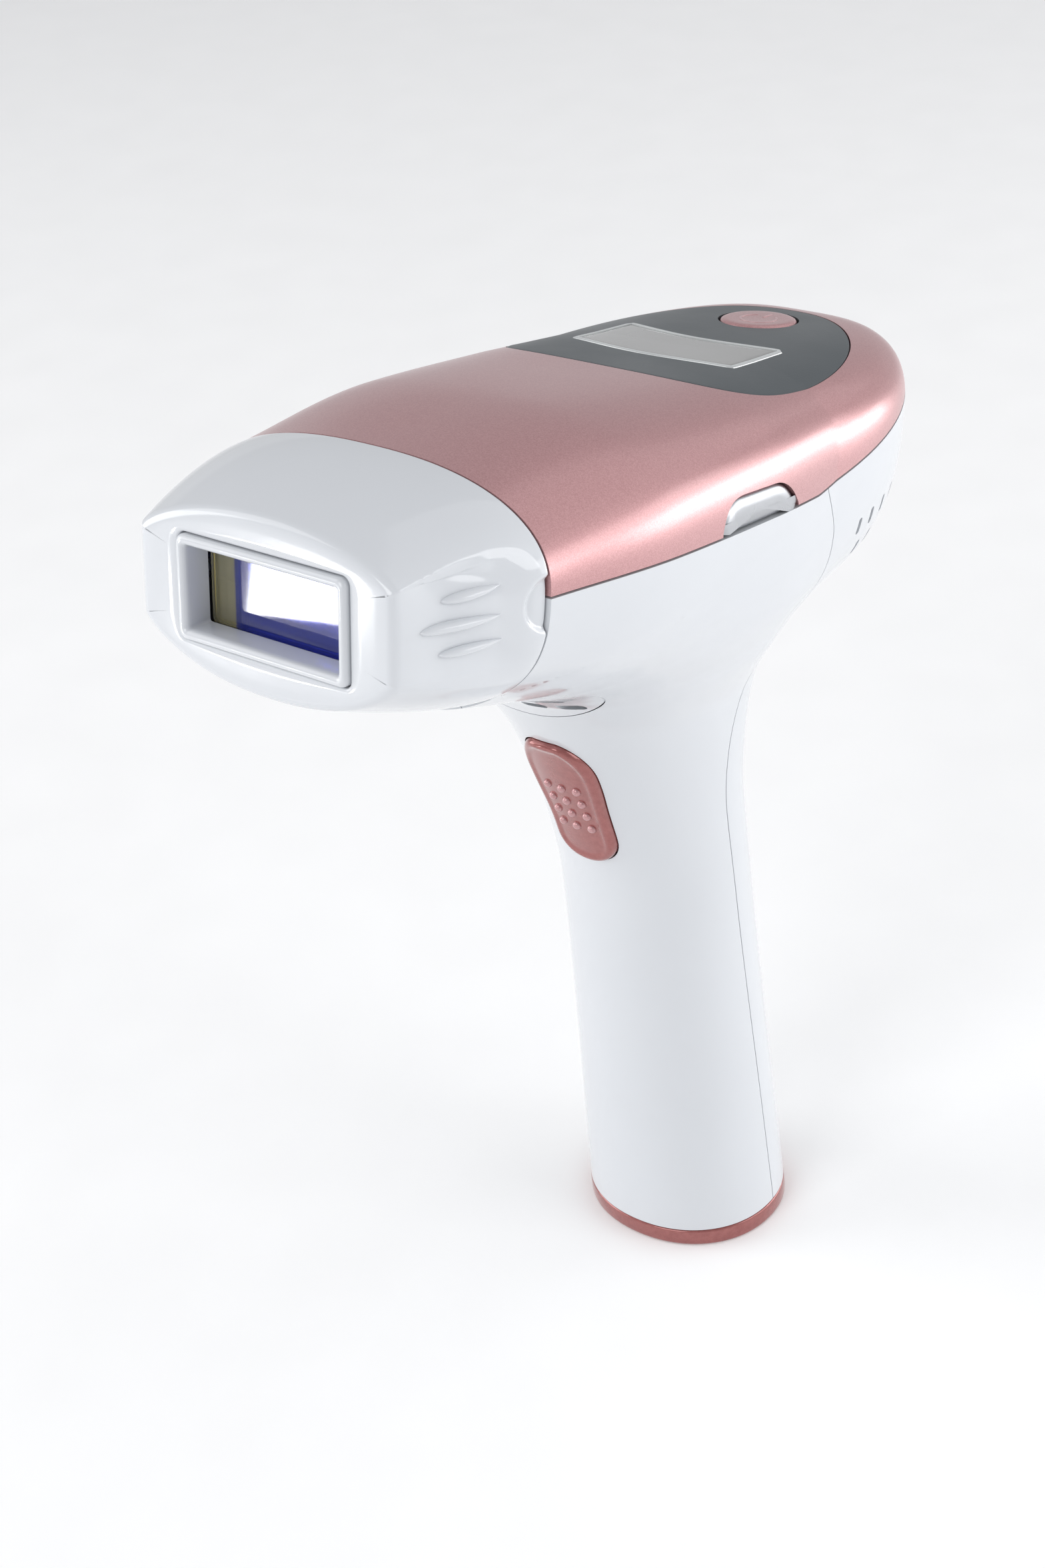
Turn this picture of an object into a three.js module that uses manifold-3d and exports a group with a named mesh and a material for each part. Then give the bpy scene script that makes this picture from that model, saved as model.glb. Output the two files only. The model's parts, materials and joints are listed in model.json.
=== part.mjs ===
// A pistol-shaped IPL hair remover: a lamp head on a grip, with every shell, control and inner part
// as a mesh of its own. Millimetres, +Z up along the grip, the lamp window faces -Y, and +X is on the
// left of whoever holds it. The origin is the middle of the flat foot of the grip.
import * as THREE from "three";
import { mergeVertices } from "three/addons/utils/BufferGeometryUtils.js";
import Module from "manifold-3d";

const wasm = await Module();
wasm.setup();

// Driving dimensions.
const GAP = 0.3; // clearance between touching pieces
const WALL = 2; // shell thickness
const LEAN = THREE.MathUtils.degToRad(11.16); // the head tips up by this much
const WINDOW_CENTRE = [0, -88.02, 179.53]; // origin of the head's own frame
const GRIP = {
  height: [0, 81, 100, 112, 124, 136, 148, 160],
  halfWidth: [21, 19, 19.1, 19.9, 21.7, 28.3, 34, 35.5],
  front: [18.4, 16.8, 20.2, 23.8, 28.1, 35.4, 52.7, 80],
  rear: [18.4, 16.6, 16, 17.9, 22.1, 29.4, 39.6, 52.2],
  roundness: [2.1, 2.1, 2.1, 2.1, 2.15, 2.2, 2.25, 2.3],
};
const HEAD = {
  y: [25, 55, 85, 105],
  halfWidth: [36.5, 39, 38, 36],
  top: [20.8, 23.9, 23.3, 23],
  bottom: [-20, -25, -27, -27],
  tailStart: 105,
  tailEnd: 154.5,
  roundness: 2.42,
  crown: 3.2, // the top grows squarer aft of the cartridge
};
const WIDEST = { low: 3.8, start: 85, rise: 10 }; // height of the widest line, which climbs aft
const SEAM_Y = 25; // joint between lamp cartridge and body
const FACE = { y: 0.4, halfWidth: 26.6, high: 8, low: -6.4, arcTop: 6.2, arcBottom: 8.2 };
const FRAME = { width: 36, height: 17.3, opening: [32.3, 13.3], corner: 1.6, depth: 5.4, proud: 0.9 };
const BELT = { z: 3.5, start: 98, rise: 14.5, reach: 56.5, bend: 1.2 }; // lower edge of the top cover
const PANEL = { widest: 104, halfWidth: 28.6, front: 21.4, rear: 40, square: 3.2, round: 1.95 };
const DISPLAY = { halfWidth: 16.7, front: 99, rear: 114.2, bow: 3.4, rim: 1.1 };
const BUTTON = { y: 132, radius: 7.2 };
const TRIM = { front: 66.9, rear: 90.6, top: 9.3 };
const SEAM = {
  // joint between front and rear shell in the side view, from the foot up into the head
  z: [-12, 40, 80, 106, 122, 134, 145, 154, 163],
  y: [2, 1.2, 0, -0.8, 2.6, 9.6, 13.8, 14.2, 12.6],
};
const RING = { height: 3.6 };
const TRIGGER = {
  height: 109,
  front: -22.8,
  slope: THREE.MathUtils.degToRad(15),
  half: 15.8,
  wide: 7.6,
  narrow: 6.8,
  proud: 1.2,
  travel: 1.2,
};
const INLET = { y: 8, radius: 5.2, bore: 2.9, pin: 0.9 };
const FAN = { y: 47, size: 36, radius: 16.4, depth: 10 };

// Finishes.
const finish = (color, roughness, metalness = 0) => ({ color, roughness, metalness });
const WHITE = finish(0xf1f2f4, 0.12);
const ROSE = finish(0xc9979b, 0.3, 0.55);
const SLATE = finish(0x41484b, 0.4);
const SILVER = finish(0xc8cacc, 0.3, 0.95);
const LENS = finish(0x8f9294, 0.15);
const FILTER = finish(0x2b34b8, 0.08);
const GOLD = finish(0xc9b24a, 0.2, 1);
const GLASS = finish(0xdfe6ea, 0.05);
const DARK = finish(0x2a2b2d, 0.5);
const BOARD = finish(0x1f6b43, 0.5);
const STEEL = finish(0x9da1a6, 0.35, 1);
const ALUMINIUM = finish(0xb7babd, 0.4, 1);
const FOIL = finish(0x23252c, 0.4);

// Smooth curve through values at given places, without overshoot.
function through(places, values) {
  const n = places.length;
  const slope = [];
  for (let i = 0; i < n - 1; i++) slope.push((values[i + 1] - values[i]) / (places[i + 1] - places[i]));
  const tangent = values.map((_, i) => {
    if (i === 0) return slope[0];
    if (i === n - 1) return slope[n - 2];
    const [a, b] = [slope[i - 1], slope[i]];
    return a * b <= 0 ? 0 : (2 * a * b) / (a + b);
  });
  return (x) => {
    let i = 0;
    while (i < n - 2 && x > places[i + 1]) i++;
    const step = places[i + 1] - places[i];
    const t = THREE.MathUtils.clamp((x - places[i]) / step, 0, 1);
    const h = t * t * (3 - 2 * t);
    const rise = t * (1 - t) * (1 - t) * step * tangent[i];
    const fall = t * t * (1 - t) * step * tangent[i + 1];
    return values[i] + (values[i + 1] - values[i]) * h + rise - fall;
  };
}

// Signed power, which turns a circle's cosine or sine into a superellipse's.
const squared = (c, roundness) => Math.sign(c) * Math.pow(Math.abs(c), 2 / roundness);

// A closed three.js geometry as a solid that can be joined and cut.
function solid(geometry) {
  const bare = geometry.index ? geometry.clone() : geometry;
  bare.deleteAttribute("normal");
  bare.deleteAttribute("uv");
  const merged = mergeVertices(bare, 1e-4);
  return new wasm.Manifold(
    new wasm.Mesh({
      numProp: 3,
      vertProperties: new Float32Array(merged.attributes.position.array),
      triVerts: new Uint32Array(merged.index.array),
    }),
  );
}

function geometryOf(shape) {
  const mesh = shape.getMesh();
  const geometry = new THREE.BufferGeometry();
  geometry.setAttribute("position", new THREE.BufferAttribute(mesh.vertProperties, 3));
  geometry.setIndex(new THREE.BufferAttribute(mesh.triVerts, 1));
  geometry.computeVertexNormals();
  return geometry;
}

const union = (shapes) => shapes.reduce((a, b) => a.add(b));

// A cylinder whose rings are moved to the sections that place(cos, sin, t) gives, t from 0 to 1.
function loft(around, along, place, matrix = new THREE.Matrix4()) {
  const geometry = new THREE.CylinderGeometry(1, 1, 1, around, along);
  const position = geometry.attributes.position;
  for (let i = 0; i < position.count; i++) {
    const point = place(position.getX(i), position.getZ(i), position.getY(i) + 0.5);
    position.setXYZ(i, ...point);
  }
  return solid(geometry.applyMatrix4(matrix));
}

const headMatrix = new THREE.Matrix4()
  .makeRotationX(-LEAN)
  .setPosition(new THREE.Vector3(...WINDOW_CENTRE));

// Point of the head's outline in direction (c, s) at y, drawn in by inset.
const headWidth = through(HEAD.y, HEAD.halfWidth);
const headTop = through(HEAD.y, HEAD.top);
const headBottom = through(HEAD.y, HEAD.bottom);
function headSection(y, inset) {
  const end = HEAD.tailEnd - inset;
  const t = Math.max(0, (y - HEAD.tailStart) / (end - HEAD.tailStart));
  const narrowing = Math.sqrt(Math.max(0, 1 - Math.pow(t, 2.6)));
  const drop = Math.sqrt(Math.max(0, 1 - Math.pow(t, 14)));
  const middle = WIDEST.low + WIDEST.rise * Math.pow(Math.max(0, y - WIDEST.start) / 69, 2);
  return {
    middle,
    width: (headWidth(y) - inset) * narrowing,
    up: (headTop(y) - inset - middle) * drop,
    down: (middle - headBottom(y) - inset) * narrowing,
  };
}
function headPoint(c, s, y, inset) {
  const section = headSection(y, inset);
  const share = THREE.MathUtils.clamp((y - SEAM_Y) / 60, 0, 1);
  const roundness = s > 0 ? THREE.MathUtils.lerp(HEAD.roundness, HEAD.crown, share) : HEAD.roundness;
  const height = squared(s, roundness) * (s > 0 ? section.up : section.down);
  return [section.width * squared(c, roundness), y, section.middle + height];
}

// The head from y = from to its tail. The last section is a small one, which closes the end.
function headLoft(inset, from, around = 32, along = 12) {
  const end = HEAD.tailEnd - inset - 0.05;
  return loft(
    around,
    along,
    (c, s, t) => headPoint(c, s, from + (end - from) * (1 - Math.pow(1 - t, 1.8)), inset),
    headMatrix,
  );
}

// A slice of the head between two places, for the bulkhead.
function headSlice(inset, from, to) {
  const place = (c, s, t) => {
    const [x, , z] = headPoint(c, s, from, inset);
    return [x, from + (to - from) * t, z];
  };
  return loft(32, 1, place, headMatrix);
}

// The grip and its flare, from height low to high, drawn in by inset.
const gripHalf = through(GRIP.height, GRIP.halfWidth);
const gripFront = through(GRIP.height, GRIP.front);
const gripRear = through(GRIP.height, GRIP.rear);
const gripRound = through(GRIP.height, GRIP.roundness);
function gripLoft(inset, low, high, around = 28, along = 15) {
  return loft(around, along, (c, s, t) => {
    const z = low + (high - low) * t;
    const level = z - inset; // the flare keeps its wall where it is nearly level
    const n = gripRound(level);
    const reach = s > 0 ? gripFront(level) : gripRear(level);
    return [(gripHalf(level) - inset) * squared(c, n), -(reach - inset) * squared(s, n), z];
  });
}

// A prism with its outline in a plane of the head's frame, as the matrix says.
function prism(shape, depth, matrix) {
  const geometry = new THREE.ExtrudeGeometry(shape, { depth, bevelEnabled: false, curveSegments: 4 });
  return solid(geometry.applyMatrix4(matrix));
}
const shift = (x, y, z) => new THREE.Matrix4().makeTranslation(x, y, z);
// Outline x, y become the head's or the part's y, z, and the prism runs along X.
const sideways = new THREE.Matrix4().set(0, 0, 1, 0, 1, 0, 0, 0, 0, 1, 0, 0, 0, 0, 0, 1);
const acrossHead = (from) => headMatrix.clone().multiply(shift(from, 0, 0)).multiply(sideways);
const acrossGrip = (from) => shift(from, 0, 0).multiply(sideways);
const aboveHead = (z) => headMatrix.clone().multiply(shift(0, 0, z));

function polygon(points) {
  return new THREE.Shape(points.map(([x, y]) => new THREE.Vector2(x, y)));
}

function superellipse(x, y, halfX, halfY, roundness, steps) {
  const points = [];
  for (let i = 0; i < steps; i++) {
    const a = (i / steps) * 2 * Math.PI;
    const c = squared(Math.cos(a), roundness);
    const s = squared(Math.sin(a), roundness);
    points.push([x + halfX * c, y + halfY * s]);
  }
  return polygon(points);
}

function roundedRectangle(width, height, radius) {
  const [w, h, r] = [width / 2, height / 2, radius];
  const shape = new THREE.Shape();
  shape.moveTo(-w + r, -h);
  shape.lineTo(w - r, -h).absarc(w - r, -h + r, r, -Math.PI / 2, 0, false);
  shape.lineTo(w, h - r).absarc(w - r, h - r, r, 0, Math.PI / 2, false);
  shape.lineTo(-w + r, h).absarc(-w + r, h - r, r, Math.PI / 2, Math.PI, false);
  shape.lineTo(-w, -h + r).absarc(-w + r, -h + r, r, Math.PI, 1.5 * Math.PI, false);
  return shape;
}

// Box, cylinder and ring solids, centred at a place.
function box(width, depth, height, x = 0, y = 0, z = 0) {
  return solid(new THREE.BoxGeometry(width, depth, height).translate(x, y, z));
}
function rod(radius, length, axis = "z", x = 0, y = 0, z = 0, sides = 20) {
  const geometry = new THREE.CylinderGeometry(radius, radius, length, sides);
  if (axis === "x") geometry.rotateZ(-Math.PI / 2);
  if (axis === "z") geometry.rotateX(Math.PI / 2);
  return solid(geometry.translate(x, y, z));
}
// A turned piece about Z from pairs of radius and height, listed upwards on the outside.
function turned(points, sides = 20) {
  const profile = points.map(([r, z]) => new THREE.Vector2(r, z));
  return solid(new THREE.LatheGeometry(profile, sides).rotateX(Math.PI / 2));
}

// A compression spring about Z: one closed wire along a helix.
class Helix extends THREE.Curve {
  constructor(radius, length, turns) {
    super();
    Object.assign(this, { radius, length, turns });
  }
  getPoint(t, target = new THREE.Vector3()) {
    const a = t * this.turns * 2 * Math.PI;
    return target.set(this.radius * Math.cos(a), this.radius * Math.sin(a), this.length * (t - 0.5));
  }
}
function spring(radius, length, turns, wire) {
  const ring = new THREE.Shape().absarc(0, 0, wire, 0, 2 * Math.PI, false);
  const extrudePath = new Helix(radius, length - 2 * wire, turns);
  const options = { steps: turns * 8, curveSegments: 3, extrudePath, bevelEnabled: false };
  return solid(new THREE.ExtrudeGeometry(ring, options));
}

// Named meshes in the head's frame, or in the part's own.
const part = new THREE.Group();
const head = new THREE.Group();
head.position.set(...WINDOW_CENTRE);
head.rotation.x = -LEAN;
part.add(head);
function mesh(group, name, shape, look) {
  const made = new THREE.Mesh(geometryOf(shape), new THREE.MeshStandardMaterial(look));
  made.name = name;
  group.add(made);
  return made;
}

// ---- Outer shells ----

// Region above the top cover's edge, raised by offset, as a polygon in the head's side view.
function aboveBelt(offset) {
  const points = [[10, BELT.z + offset]];
  for (let i = 0; i <= 10; i++) {
    const t = i / 10;
    points.push([BELT.start + t * BELT.reach, BELT.z + offset + BELT.rise * Math.pow(t, BELT.bend)]);
  }
  points.push([175, BELT.z + offset + BELT.rise], [175, 60], [10, 60]);
  return prism(polygon(points), 120, acrossHead(-60));
}

// Region behind the seam between front and rear shell, moved back by offset.
function behindSeam(offset) {
  const places = SEAM.y.map((y, i) => new THREE.Vector2(y + offset, SEAM.z[i]));
  const points = new THREE.SplineCurve(places).getPoints(22).map((p) => [p.x, p.y]);
  points.push([11 + offset, 215], [120, 215], [120, -12]);
  return prism(polygon(points), 120, acrossGrip(-60));
}

const bodyFront = SEAM_Y + GAP / 2;
const outside = headLoft(0, bodyFront).add(gripLoft(0, RING.height + GAP, 160).intersect(behindCartridge()));
const inside = headLoft(WALL, 10, 24, 8).add(gripLoft(WALL, -4, 158, 24, 11));
const shell = outside.subtract(inside);
const lowerShell = shell.subtract(aboveBelt(-GAP / 2));

// Everything aft of the cartridge seam.
function behindCartridge() {
  const half = new THREE.BoxGeometry(140, 240, 400).translate(0, bodyFront + 120, 0);
  return solid(half.applyMatrix4(headMatrix));
}

// The bulkhead behind the cartridge: it fills the shell's mouth and carries the socket.
function bulkhead() {
  const full = headSlice(1, bodyFront, bodyFront + WALL).subtract(aboveBelt(-GAP / 2));
  const upper = headSlice(WALL + GAP, bodyFront, bodyFront + WALL);
  const mouth = box(28.6, 10, 12.6, 0, bodyFront, 0);
  return full.add(upper).subtract(mouth.transform(headMatrix.elements));
}

// The trigger's own frame: y out of the grip, z up along its face.
const triggerMatrix = new THREE.Matrix4()
  .makeRotationX(TRIGGER.slope)
  .setPosition(0, TRIGGER.front, TRIGGER.height);

function triggerOutline(margin) {
  const top = TRIGGER.wide + margin;
  const bottom = TRIGGER.narrow + margin;
  const half = TRIGGER.half + margin;
  const shape = new THREE.Shape();
  shape.moveTo(-bottom, -half + 6);
  shape.bezierCurveTo(-bottom, -half + 1.5, -3.5, -half, 0, -half);
  shape.bezierCurveTo(3.5, -half, bottom, -half + 1.5, bottom, -half + 6);
  shape.lineTo(top, half - 9);
  shape.bezierCurveTo(top, half - 4, 4.5, half, 2, half);
  shape.lineTo(-2, half);
  shape.bezierCurveTo(-4.5, half, -top, half - 4, -top, half - 9);
  return shape;
}
// The outline's x, y are the trigger's x, z, and the prism runs out along -Y.
const facing = new THREE.Matrix4().makeRotationX(Math.PI / 2);
function triggerPrism(margin, from, to) {
  const place = triggerMatrix.clone().multiply(shift(0, -from, 0)).multiply(facing);
  return prism(triggerOutline(margin), to - from, place);
}

// The air grille's opening in the front of the flare.
function grillePrism(margin) {
  const shape = superellipse(0, 148, 21.5 + margin, 15 + margin, 2.3, 28);
  return prism(shape, 60, shift(0, -22, 0).multiply(facing));
}

// Cooling slots through the back of the rear shell, in rows round the flare.
function coolingSlots() {
  const slots = [];
  for (let row = 0; row < 4; row++) {
    const z = 137 + row * 6.2;
    const count = row % 2 ? 4 : 5;
    for (let i = 0; i < count; i++) {
      const turn = ((i - (count - 1) / 2) * 22 * Math.PI) / 180;
      const slot = new THREE.BoxGeometry(5, 60, 2);
      slot.translate(0, 44, 0).rotateX(-0.5).rotateZ(-turn).translate(0, 0, z + 10);
      slots.push(solid(slot));
    }
  }
  return union(slots);
}

const frontShell = lowerShell
  .subtract(behindSeam(-GAP / 2))
  .add(bulkhead())
  .subtract(triggerPrism(GAP, -6, 14))
  .subtract(grillePrism(GAP));
mesh(part, "front_shell", frontShell, WHITE);

const rearShell = lowerShell.intersect(behindSeam(GAP / 2)).subtract(coolingSlots());
mesh(part, "rear_shell", rearShell, WHITE);

// The grille keeps the shell's surface and has three rows of slots through it.
function grilleSlots() {
  const slots = [];
  for (let row = 0; row < 3; row++) {
    for (let i = -2; i <= 2; i++) {
      const slot = new THREE.BoxGeometry(4.4, 60, 1.9).translate(i * 6.4, -40, 137.6 + row * 4.2);
      slots.push(solid(slot));
    }
  }
  return union(slots);
}
const grille = lowerShell.subtract(behindSeam(-GAP / 2)).intersect(grillePrism(0)).subtract(grilleSlots());
mesh(part, "neck_grille", grille, WHITE);

// ---- Top cover with its panel, display, button and side trims ----

// Squarish in front and round behind.
function panelOutline(margin) {
  const points = [];
  for (let i = 0; i < 32; i++) {
    const a = (i / 32) * 2 * Math.PI;
    const aft = Math.sin(a) > 0;
    const roundness = aft ? PANEL.round : PANEL.square;
    const length = (aft ? PANEL.rear : PANEL.front) + margin;
    const x = (PANEL.halfWidth + margin) * squared(Math.cos(a), roundness);
    points.push([x, PANEL.widest + length * squared(Math.sin(a), roundness)]);
  }
  return polygon(points);
}
const panelPrism = (margin) => prism(panelOutline(margin), 60, aboveHead(0));

// Arched band that the display fills.
function displayOutline(margin) {
  const half = DISPLAY.halfWidth + margin;
  const [front, rear] = [DISPLAY.front - margin, DISPLAY.rear + margin];
  const shape = new THREE.Shape();
  shape.moveTo(-half, front);
  shape.quadraticCurveTo(0, front - 2 * DISPLAY.bow, half, front);
  shape.lineTo(half - 0.4, rear);
  shape.quadraticCurveTo(0, rear - 2 * DISPLAY.bow, -half + 0.4, rear);
  return shape;
}
const displayPrism = (margin) => prism(displayOutline(margin), 60, aboveHead(0));

// Outline of a side trim in the head's side view, standing on the belt.
function trimOutline(margin) {
  const [front, rear, top] = [TRIM.front - margin, TRIM.rear + margin, TRIM.top + margin];
  const shape = new THREE.Shape();
  shape.moveTo(front, BELT.z - 6);
  shape.lineTo(front, BELT.z);
  shape.bezierCurveTo(front + 0.6, top - 1.5, front + 2.6, top, front + 6, top);
  shape.lineTo(rear - 8, top - 0.3);
  shape.bezierCurveTo(rear - 4, top - 0.4, rear - 1.6, top - 3, rear, BELT.z);
  shape.lineTo(rear, BELT.z - 6);
  return shape;
}
function trimPrism(margin, side) {
  return prism(trimOutline(margin), 40, acrossHead(side > 0 ? 20 : -60));
}

const upper = aboveBelt(GAP / 2);
const coverSkin = headLoft(0, bodyFront).subtract(headLoft(WALL, 10, 24, 8)).intersect(upper);
const cover = coverSkin
  .subtract(panelPrism(GAP))
  .subtract(trimPrism(GAP, 1))
  .subtract(trimPrism(GAP, -1));
mesh(part, "top_cover", cover, ROSE);

const trimSkin = headLoft(0.4, bodyFront).subtract(headLoft(WALL, 10, 24, 8)).intersect(aboveBelt(GAP / 2));
mesh(part, "side_trim_left", trimSkin.intersect(trimPrism(0, 1)), SILVER);
mesh(part, "side_trim_right", trimSkin.intersect(trimPrism(0, -1)), SILVER);

const panelSkin = headLoft(0.2, 60).subtract(headLoft(WALL, 10, 24, 8));
const buttonHole = rod(BUTTON.radius + GAP, 60, "z", 0, BUTTON.y, 30, 28).transform(headMatrix.elements);
const panel = panelSkin
  .intersect(panelPrism(0))
  .subtract(displayPrism(DISPLAY.rim + GAP))
  .subtract(buttonHole);
mesh(part, "control_panel", panel, SLATE);

const displaySkin = headLoft(0.1, 60).subtract(headLoft(1.6, 10, 40, 14));
const displayTrim = displaySkin.intersect(displayPrism(DISPLAY.rim)).subtract(displayPrism(GAP / 2));
mesh(part, "lcd_trim", displayTrim, SILVER);
const lensSkin = headLoft(0.3, 60).subtract(headLoft(1.6, 10, 40, 14));
mesh(part, "lcd_lens", lensSkin.intersect(displayPrism(-GAP / 2)), LENS);

// ---- Foot of the grip ----

const ringOuter = gripLoft(0, 0, RING.height, 28, 1);
const ringInner = gripLoft(WALL, -1, RING.height + 1, 28, 1);
mesh(part, "base_ring", ringOuter.subtract(ringInner), ROSE);

const inletHole = rod(INLET.radius + GAP, 30, "z", 0, INLET.y, 0, 24);
const screwPlaces = [-11, 11].map((x) => [x, -4]);
const footHoles = screwPlaces.map(([x, y]) => rod(1.5, 30, "z", x, y, 0, 12));
const footSinks = screwPlaces.map(([x, y]) => rod(2.9, 2, "z", x, y, 0, 16));
const foot = gripLoft(WALL + GAP, 0, RING.height, 28, 1)
  .subtract(inletHole)
  .subtract(union(footHoles))
  .subtract(union(footSinks));
mesh(part, "base_plate", foot, WHITE);

function screw(length, radius, headRadius, headHeight) {
  const shank = rod(radius, length, "z", 0, 0, -length / 2 - headHeight + 0.1, 8);
  const cap = rod(headRadius, headHeight, "z", 0, 0, -headHeight / 2, 12);
  const cross = box(0.6, headRadius * 1.3, 1.2).add(box(headRadius * 1.3, 0.6, 1.2));
  return cap.add(shank).subtract(cross);
}
screwPlaces.forEach(([x, y], i) => {
  const made = mesh(part, `base_screw_${i + 1}`, screw(8, 1.2, 2.5, 0.6), STEEL);
  made.rotation.x = Math.PI;
  made.position.set(x, y, 0.3);
});

const inletProfile = [
  [0, 1],
  [INLET.pin, 1],
  [INLET.pin, 9],
  [INLET.bore, 9],
  [INLET.bore, 0.3],
  [INLET.radius, 0.3],
  [INLET.radius, 13],
  [0, 13],
];
const inlet = turned(inletProfile, 16);
mesh(part, "dc_inlet", inlet, DARK).position.set(0, INLET.y, 0);

// ---- Trigger ----

const triggerSkin = gripLoft(-TRIGGER.proud, 88, 132, 32, 8);
const triggerBack = box(40, 40, 60, 0, 20 + 6, 0).transform(triggerMatrix.elements);
const flange = { y: 6.4, thickness: 1.2 }; // keeps the trigger from falling out
const triggerFlange = box(17, flange.thickness, 34, 0, flange.y, 0).transform(triggerMatrix.elements);
const trigger = triggerSkin.intersect(triggerPrism(0, -8, 14)).subtract(triggerBack).add(triggerFlange);
const bumps = [];
for (let row = 0; row < 4; row++) {
  for (let column = -1; column <= 1; column++) {
    const up = 3.4 * (1.1 - row);
    const out = -TRIGGER.proud - 0.05 + Math.abs(column) * 0.25;
    const bump = new THREE.SphereGeometry(0.9, 6, 4).translate(column * 3.3, out, up);
    bumps.push(solid(bump.applyMatrix4(triggerMatrix)));
  }
}
mesh(part, "trigger_button", trigger.add(union(bumps)), ROSE);

const triggerGroup = new THREE.Group();
triggerGroup.applyMatrix4(triggerMatrix);
part.add(triggerGroup);
// The spring and the switch's plunger start just behind the pressed trigger.
const pressed = flange.y + flange.thickness / 2 + TRIGGER.travel + GAP;
const springLength = 3.2;
const triggerSpring = mesh(triggerGroup, "trigger_spring", spring(2, springLength, 3, 0.25), STEEL);
triggerSpring.rotation.x = -Math.PI / 2;
triggerSpring.position.set(0, pressed + springLength / 2, -9);
const switchBody = box(6, 2.8, 10, 0, pressed + 2, 2).add(box(1.6, 0.8, 2, 0, pressed + 0.4, 2));
mesh(triggerGroup, "trigger_switch", switchBody, DARK);
mesh(triggerGroup, "trigger_board", box(12, 1.2, 26, 0, pressed + springLength + 1.2, -3), BOARD);

// ---- Lamp cartridge, in the head's frame ----

// Outline point of the flat face for a direction (c, s): arcs above and below, upright sides.
const CORNER = THREE.MathUtils.degToRad(22.5);
function facePoint(c, s) {
  const u = THREE.MathUtils.clamp(c / Math.cos(CORNER), -1, 1);
  const onSide = Math.abs(s) < Math.sin(CORNER) + 1e-6;
  const share = Math.min(1, Math.abs(s) / Math.sin(CORNER));
  const arch = onSide ? 0 : Math.pow(1 - Math.pow(Math.abs(u), 2.2), 0.75);
  const z = s > 0 ? FACE.high * share + FACE.arcTop * arch : FACE.low * share - FACE.arcBottom * arch;
  return [FACE.halfWidth * u, z];
}

// The cartridge's skin, which runs from the face's outline to the head's section at the seam.
function cartridgeLoft(inset, from, to, along) {
  return loft(32, along, (c, s, t) => {
    if (c === 0 && s === 0) return [0, from + (to - from) * t, 0];
    const y = from + (to - from) * t;
    const share = THREE.MathUtils.clamp((y - FACE.y) / (SEAM_Y - FACE.y), 0, 1);
    const blend = 1 - Math.pow(1 - share, 1.5);
    const [fx, fz] = facePoint(c, s);
    const draw = 1 - inset / 20;
    const [sx, , sz] = headPoint(c, s, SEAM_Y, inset);
    return [fx * draw * (1 - blend) + sx * blend, y, fz * draw * (1 - blend) + sz * blend];
  });
}

const frameHole = (margin) => {
  const outline = roundedRectangle(FRAME.width + 2 * margin, FRAME.height + 2 * margin, FRAME.corner);
  return prism(outline, 20, shift(0, 10, 0).multiply(facing));
};
const ribSpots = [[9.2, 5.8, 10], [4.4, 1.6, 14], [8.4, -2.9, 10.5]];
function fingerRibs(side) {
  return union(
    ribSpots.map(([front, z, length]) => {
      const rib = new THREE.SphereGeometry(1, 10, 6).scale(1.1, length / 2, 0.95);
      const y = front + length / 2;
      const out = 27.2 + 0.55 * y - 0.007 * y * y;
      rib.rotateZ(side * -0.36).translate(side * out, y, z);
      return solid(rib);
    }),
  );
}
const housing = cartridgeLoft(0, FACE.y, SEAM_Y - GAP / 2, 6)
  .subtract(cartridgeLoft(WALL, FACE.y + 2, SEAM_Y + 5, 5))
  .add(fingerRibs(1).add(fingerRibs(-1)).subtract(cartridgeLoft(WALL * 0.6, -5, SEAM_Y + 5, 5)))
  .subtract(frameHole(GAP));
mesh(head, "cartridge_housing", housing, WHITE);

const frameOutline = roundedRectangle(FRAME.width, FRAME.height, FRAME.corner);
frameOutline.holes.push(roundedRectangle(FRAME.opening[0], FRAME.opening[1], 0.6));
const frameFront = FACE.y - FRAME.proud;
const frameRing = prism(frameOutline, FRAME.depth, shift(0, frameFront + FRAME.depth, 0).multiply(facing));
const lugs = [-1, 1].map((side) => box(5.6, 1.6, 4, side * 20.2, 3.7, 0));
mesh(head, "contact_frame", frameRing.add(union(lugs)), WHITE);

mesh(head, "filter_glass", box(34, 1.8, 15, 0, 7, 0), FILTER);

// A trough that throws the lamp's light forward, with a hole in each cheek for the tube.
const trough = box(36, 11, 17, 0, 13.8, 0)
  .subtract(box(33, 10, 14, 0, 12.4, 0))
  .subtract(rod(3.4, 60, "x", 0, 14.6, 0, 20));
mesh(head, "reflector", trough, GOLD);
mesh(head, "lamp_tube", rod(3, 44, "x", 0, 14.6, 0, 20), GLASS);
[-1, 1].forEach((side) => {
  const cap = rod(3.8, 3.6, "x", side * 24.2, 14.6, 0, 20);
  mesh(head, side > 0 ? "electrode_left" : "electrode_right", cap, STEEL);
});

mesh(head, "cartridge_plate", headPlate(), DARK);
function headPlate() {
  const section = headSection(SEAM_Y, WALL + 1.6);
  const outline = superellipse(0, section.middle, section.width, (section.up + section.down) / 2, 2.4, 36);
  const raised = (section.up - section.down) / 2;
  const plate = prism(outline, 2, shift(0, 24.4, raised).multiply(facing));
  return plate.subtract(box(24.6, 10, 8.6, 0, 23, 0));
}
const plug = box(24, 12, 8, 0, 26.6, 0).subtract(box(20, 4, 1.4, 0, 32, 0));
mesh(head, "cartridge_plug", plug, DARK);

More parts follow.
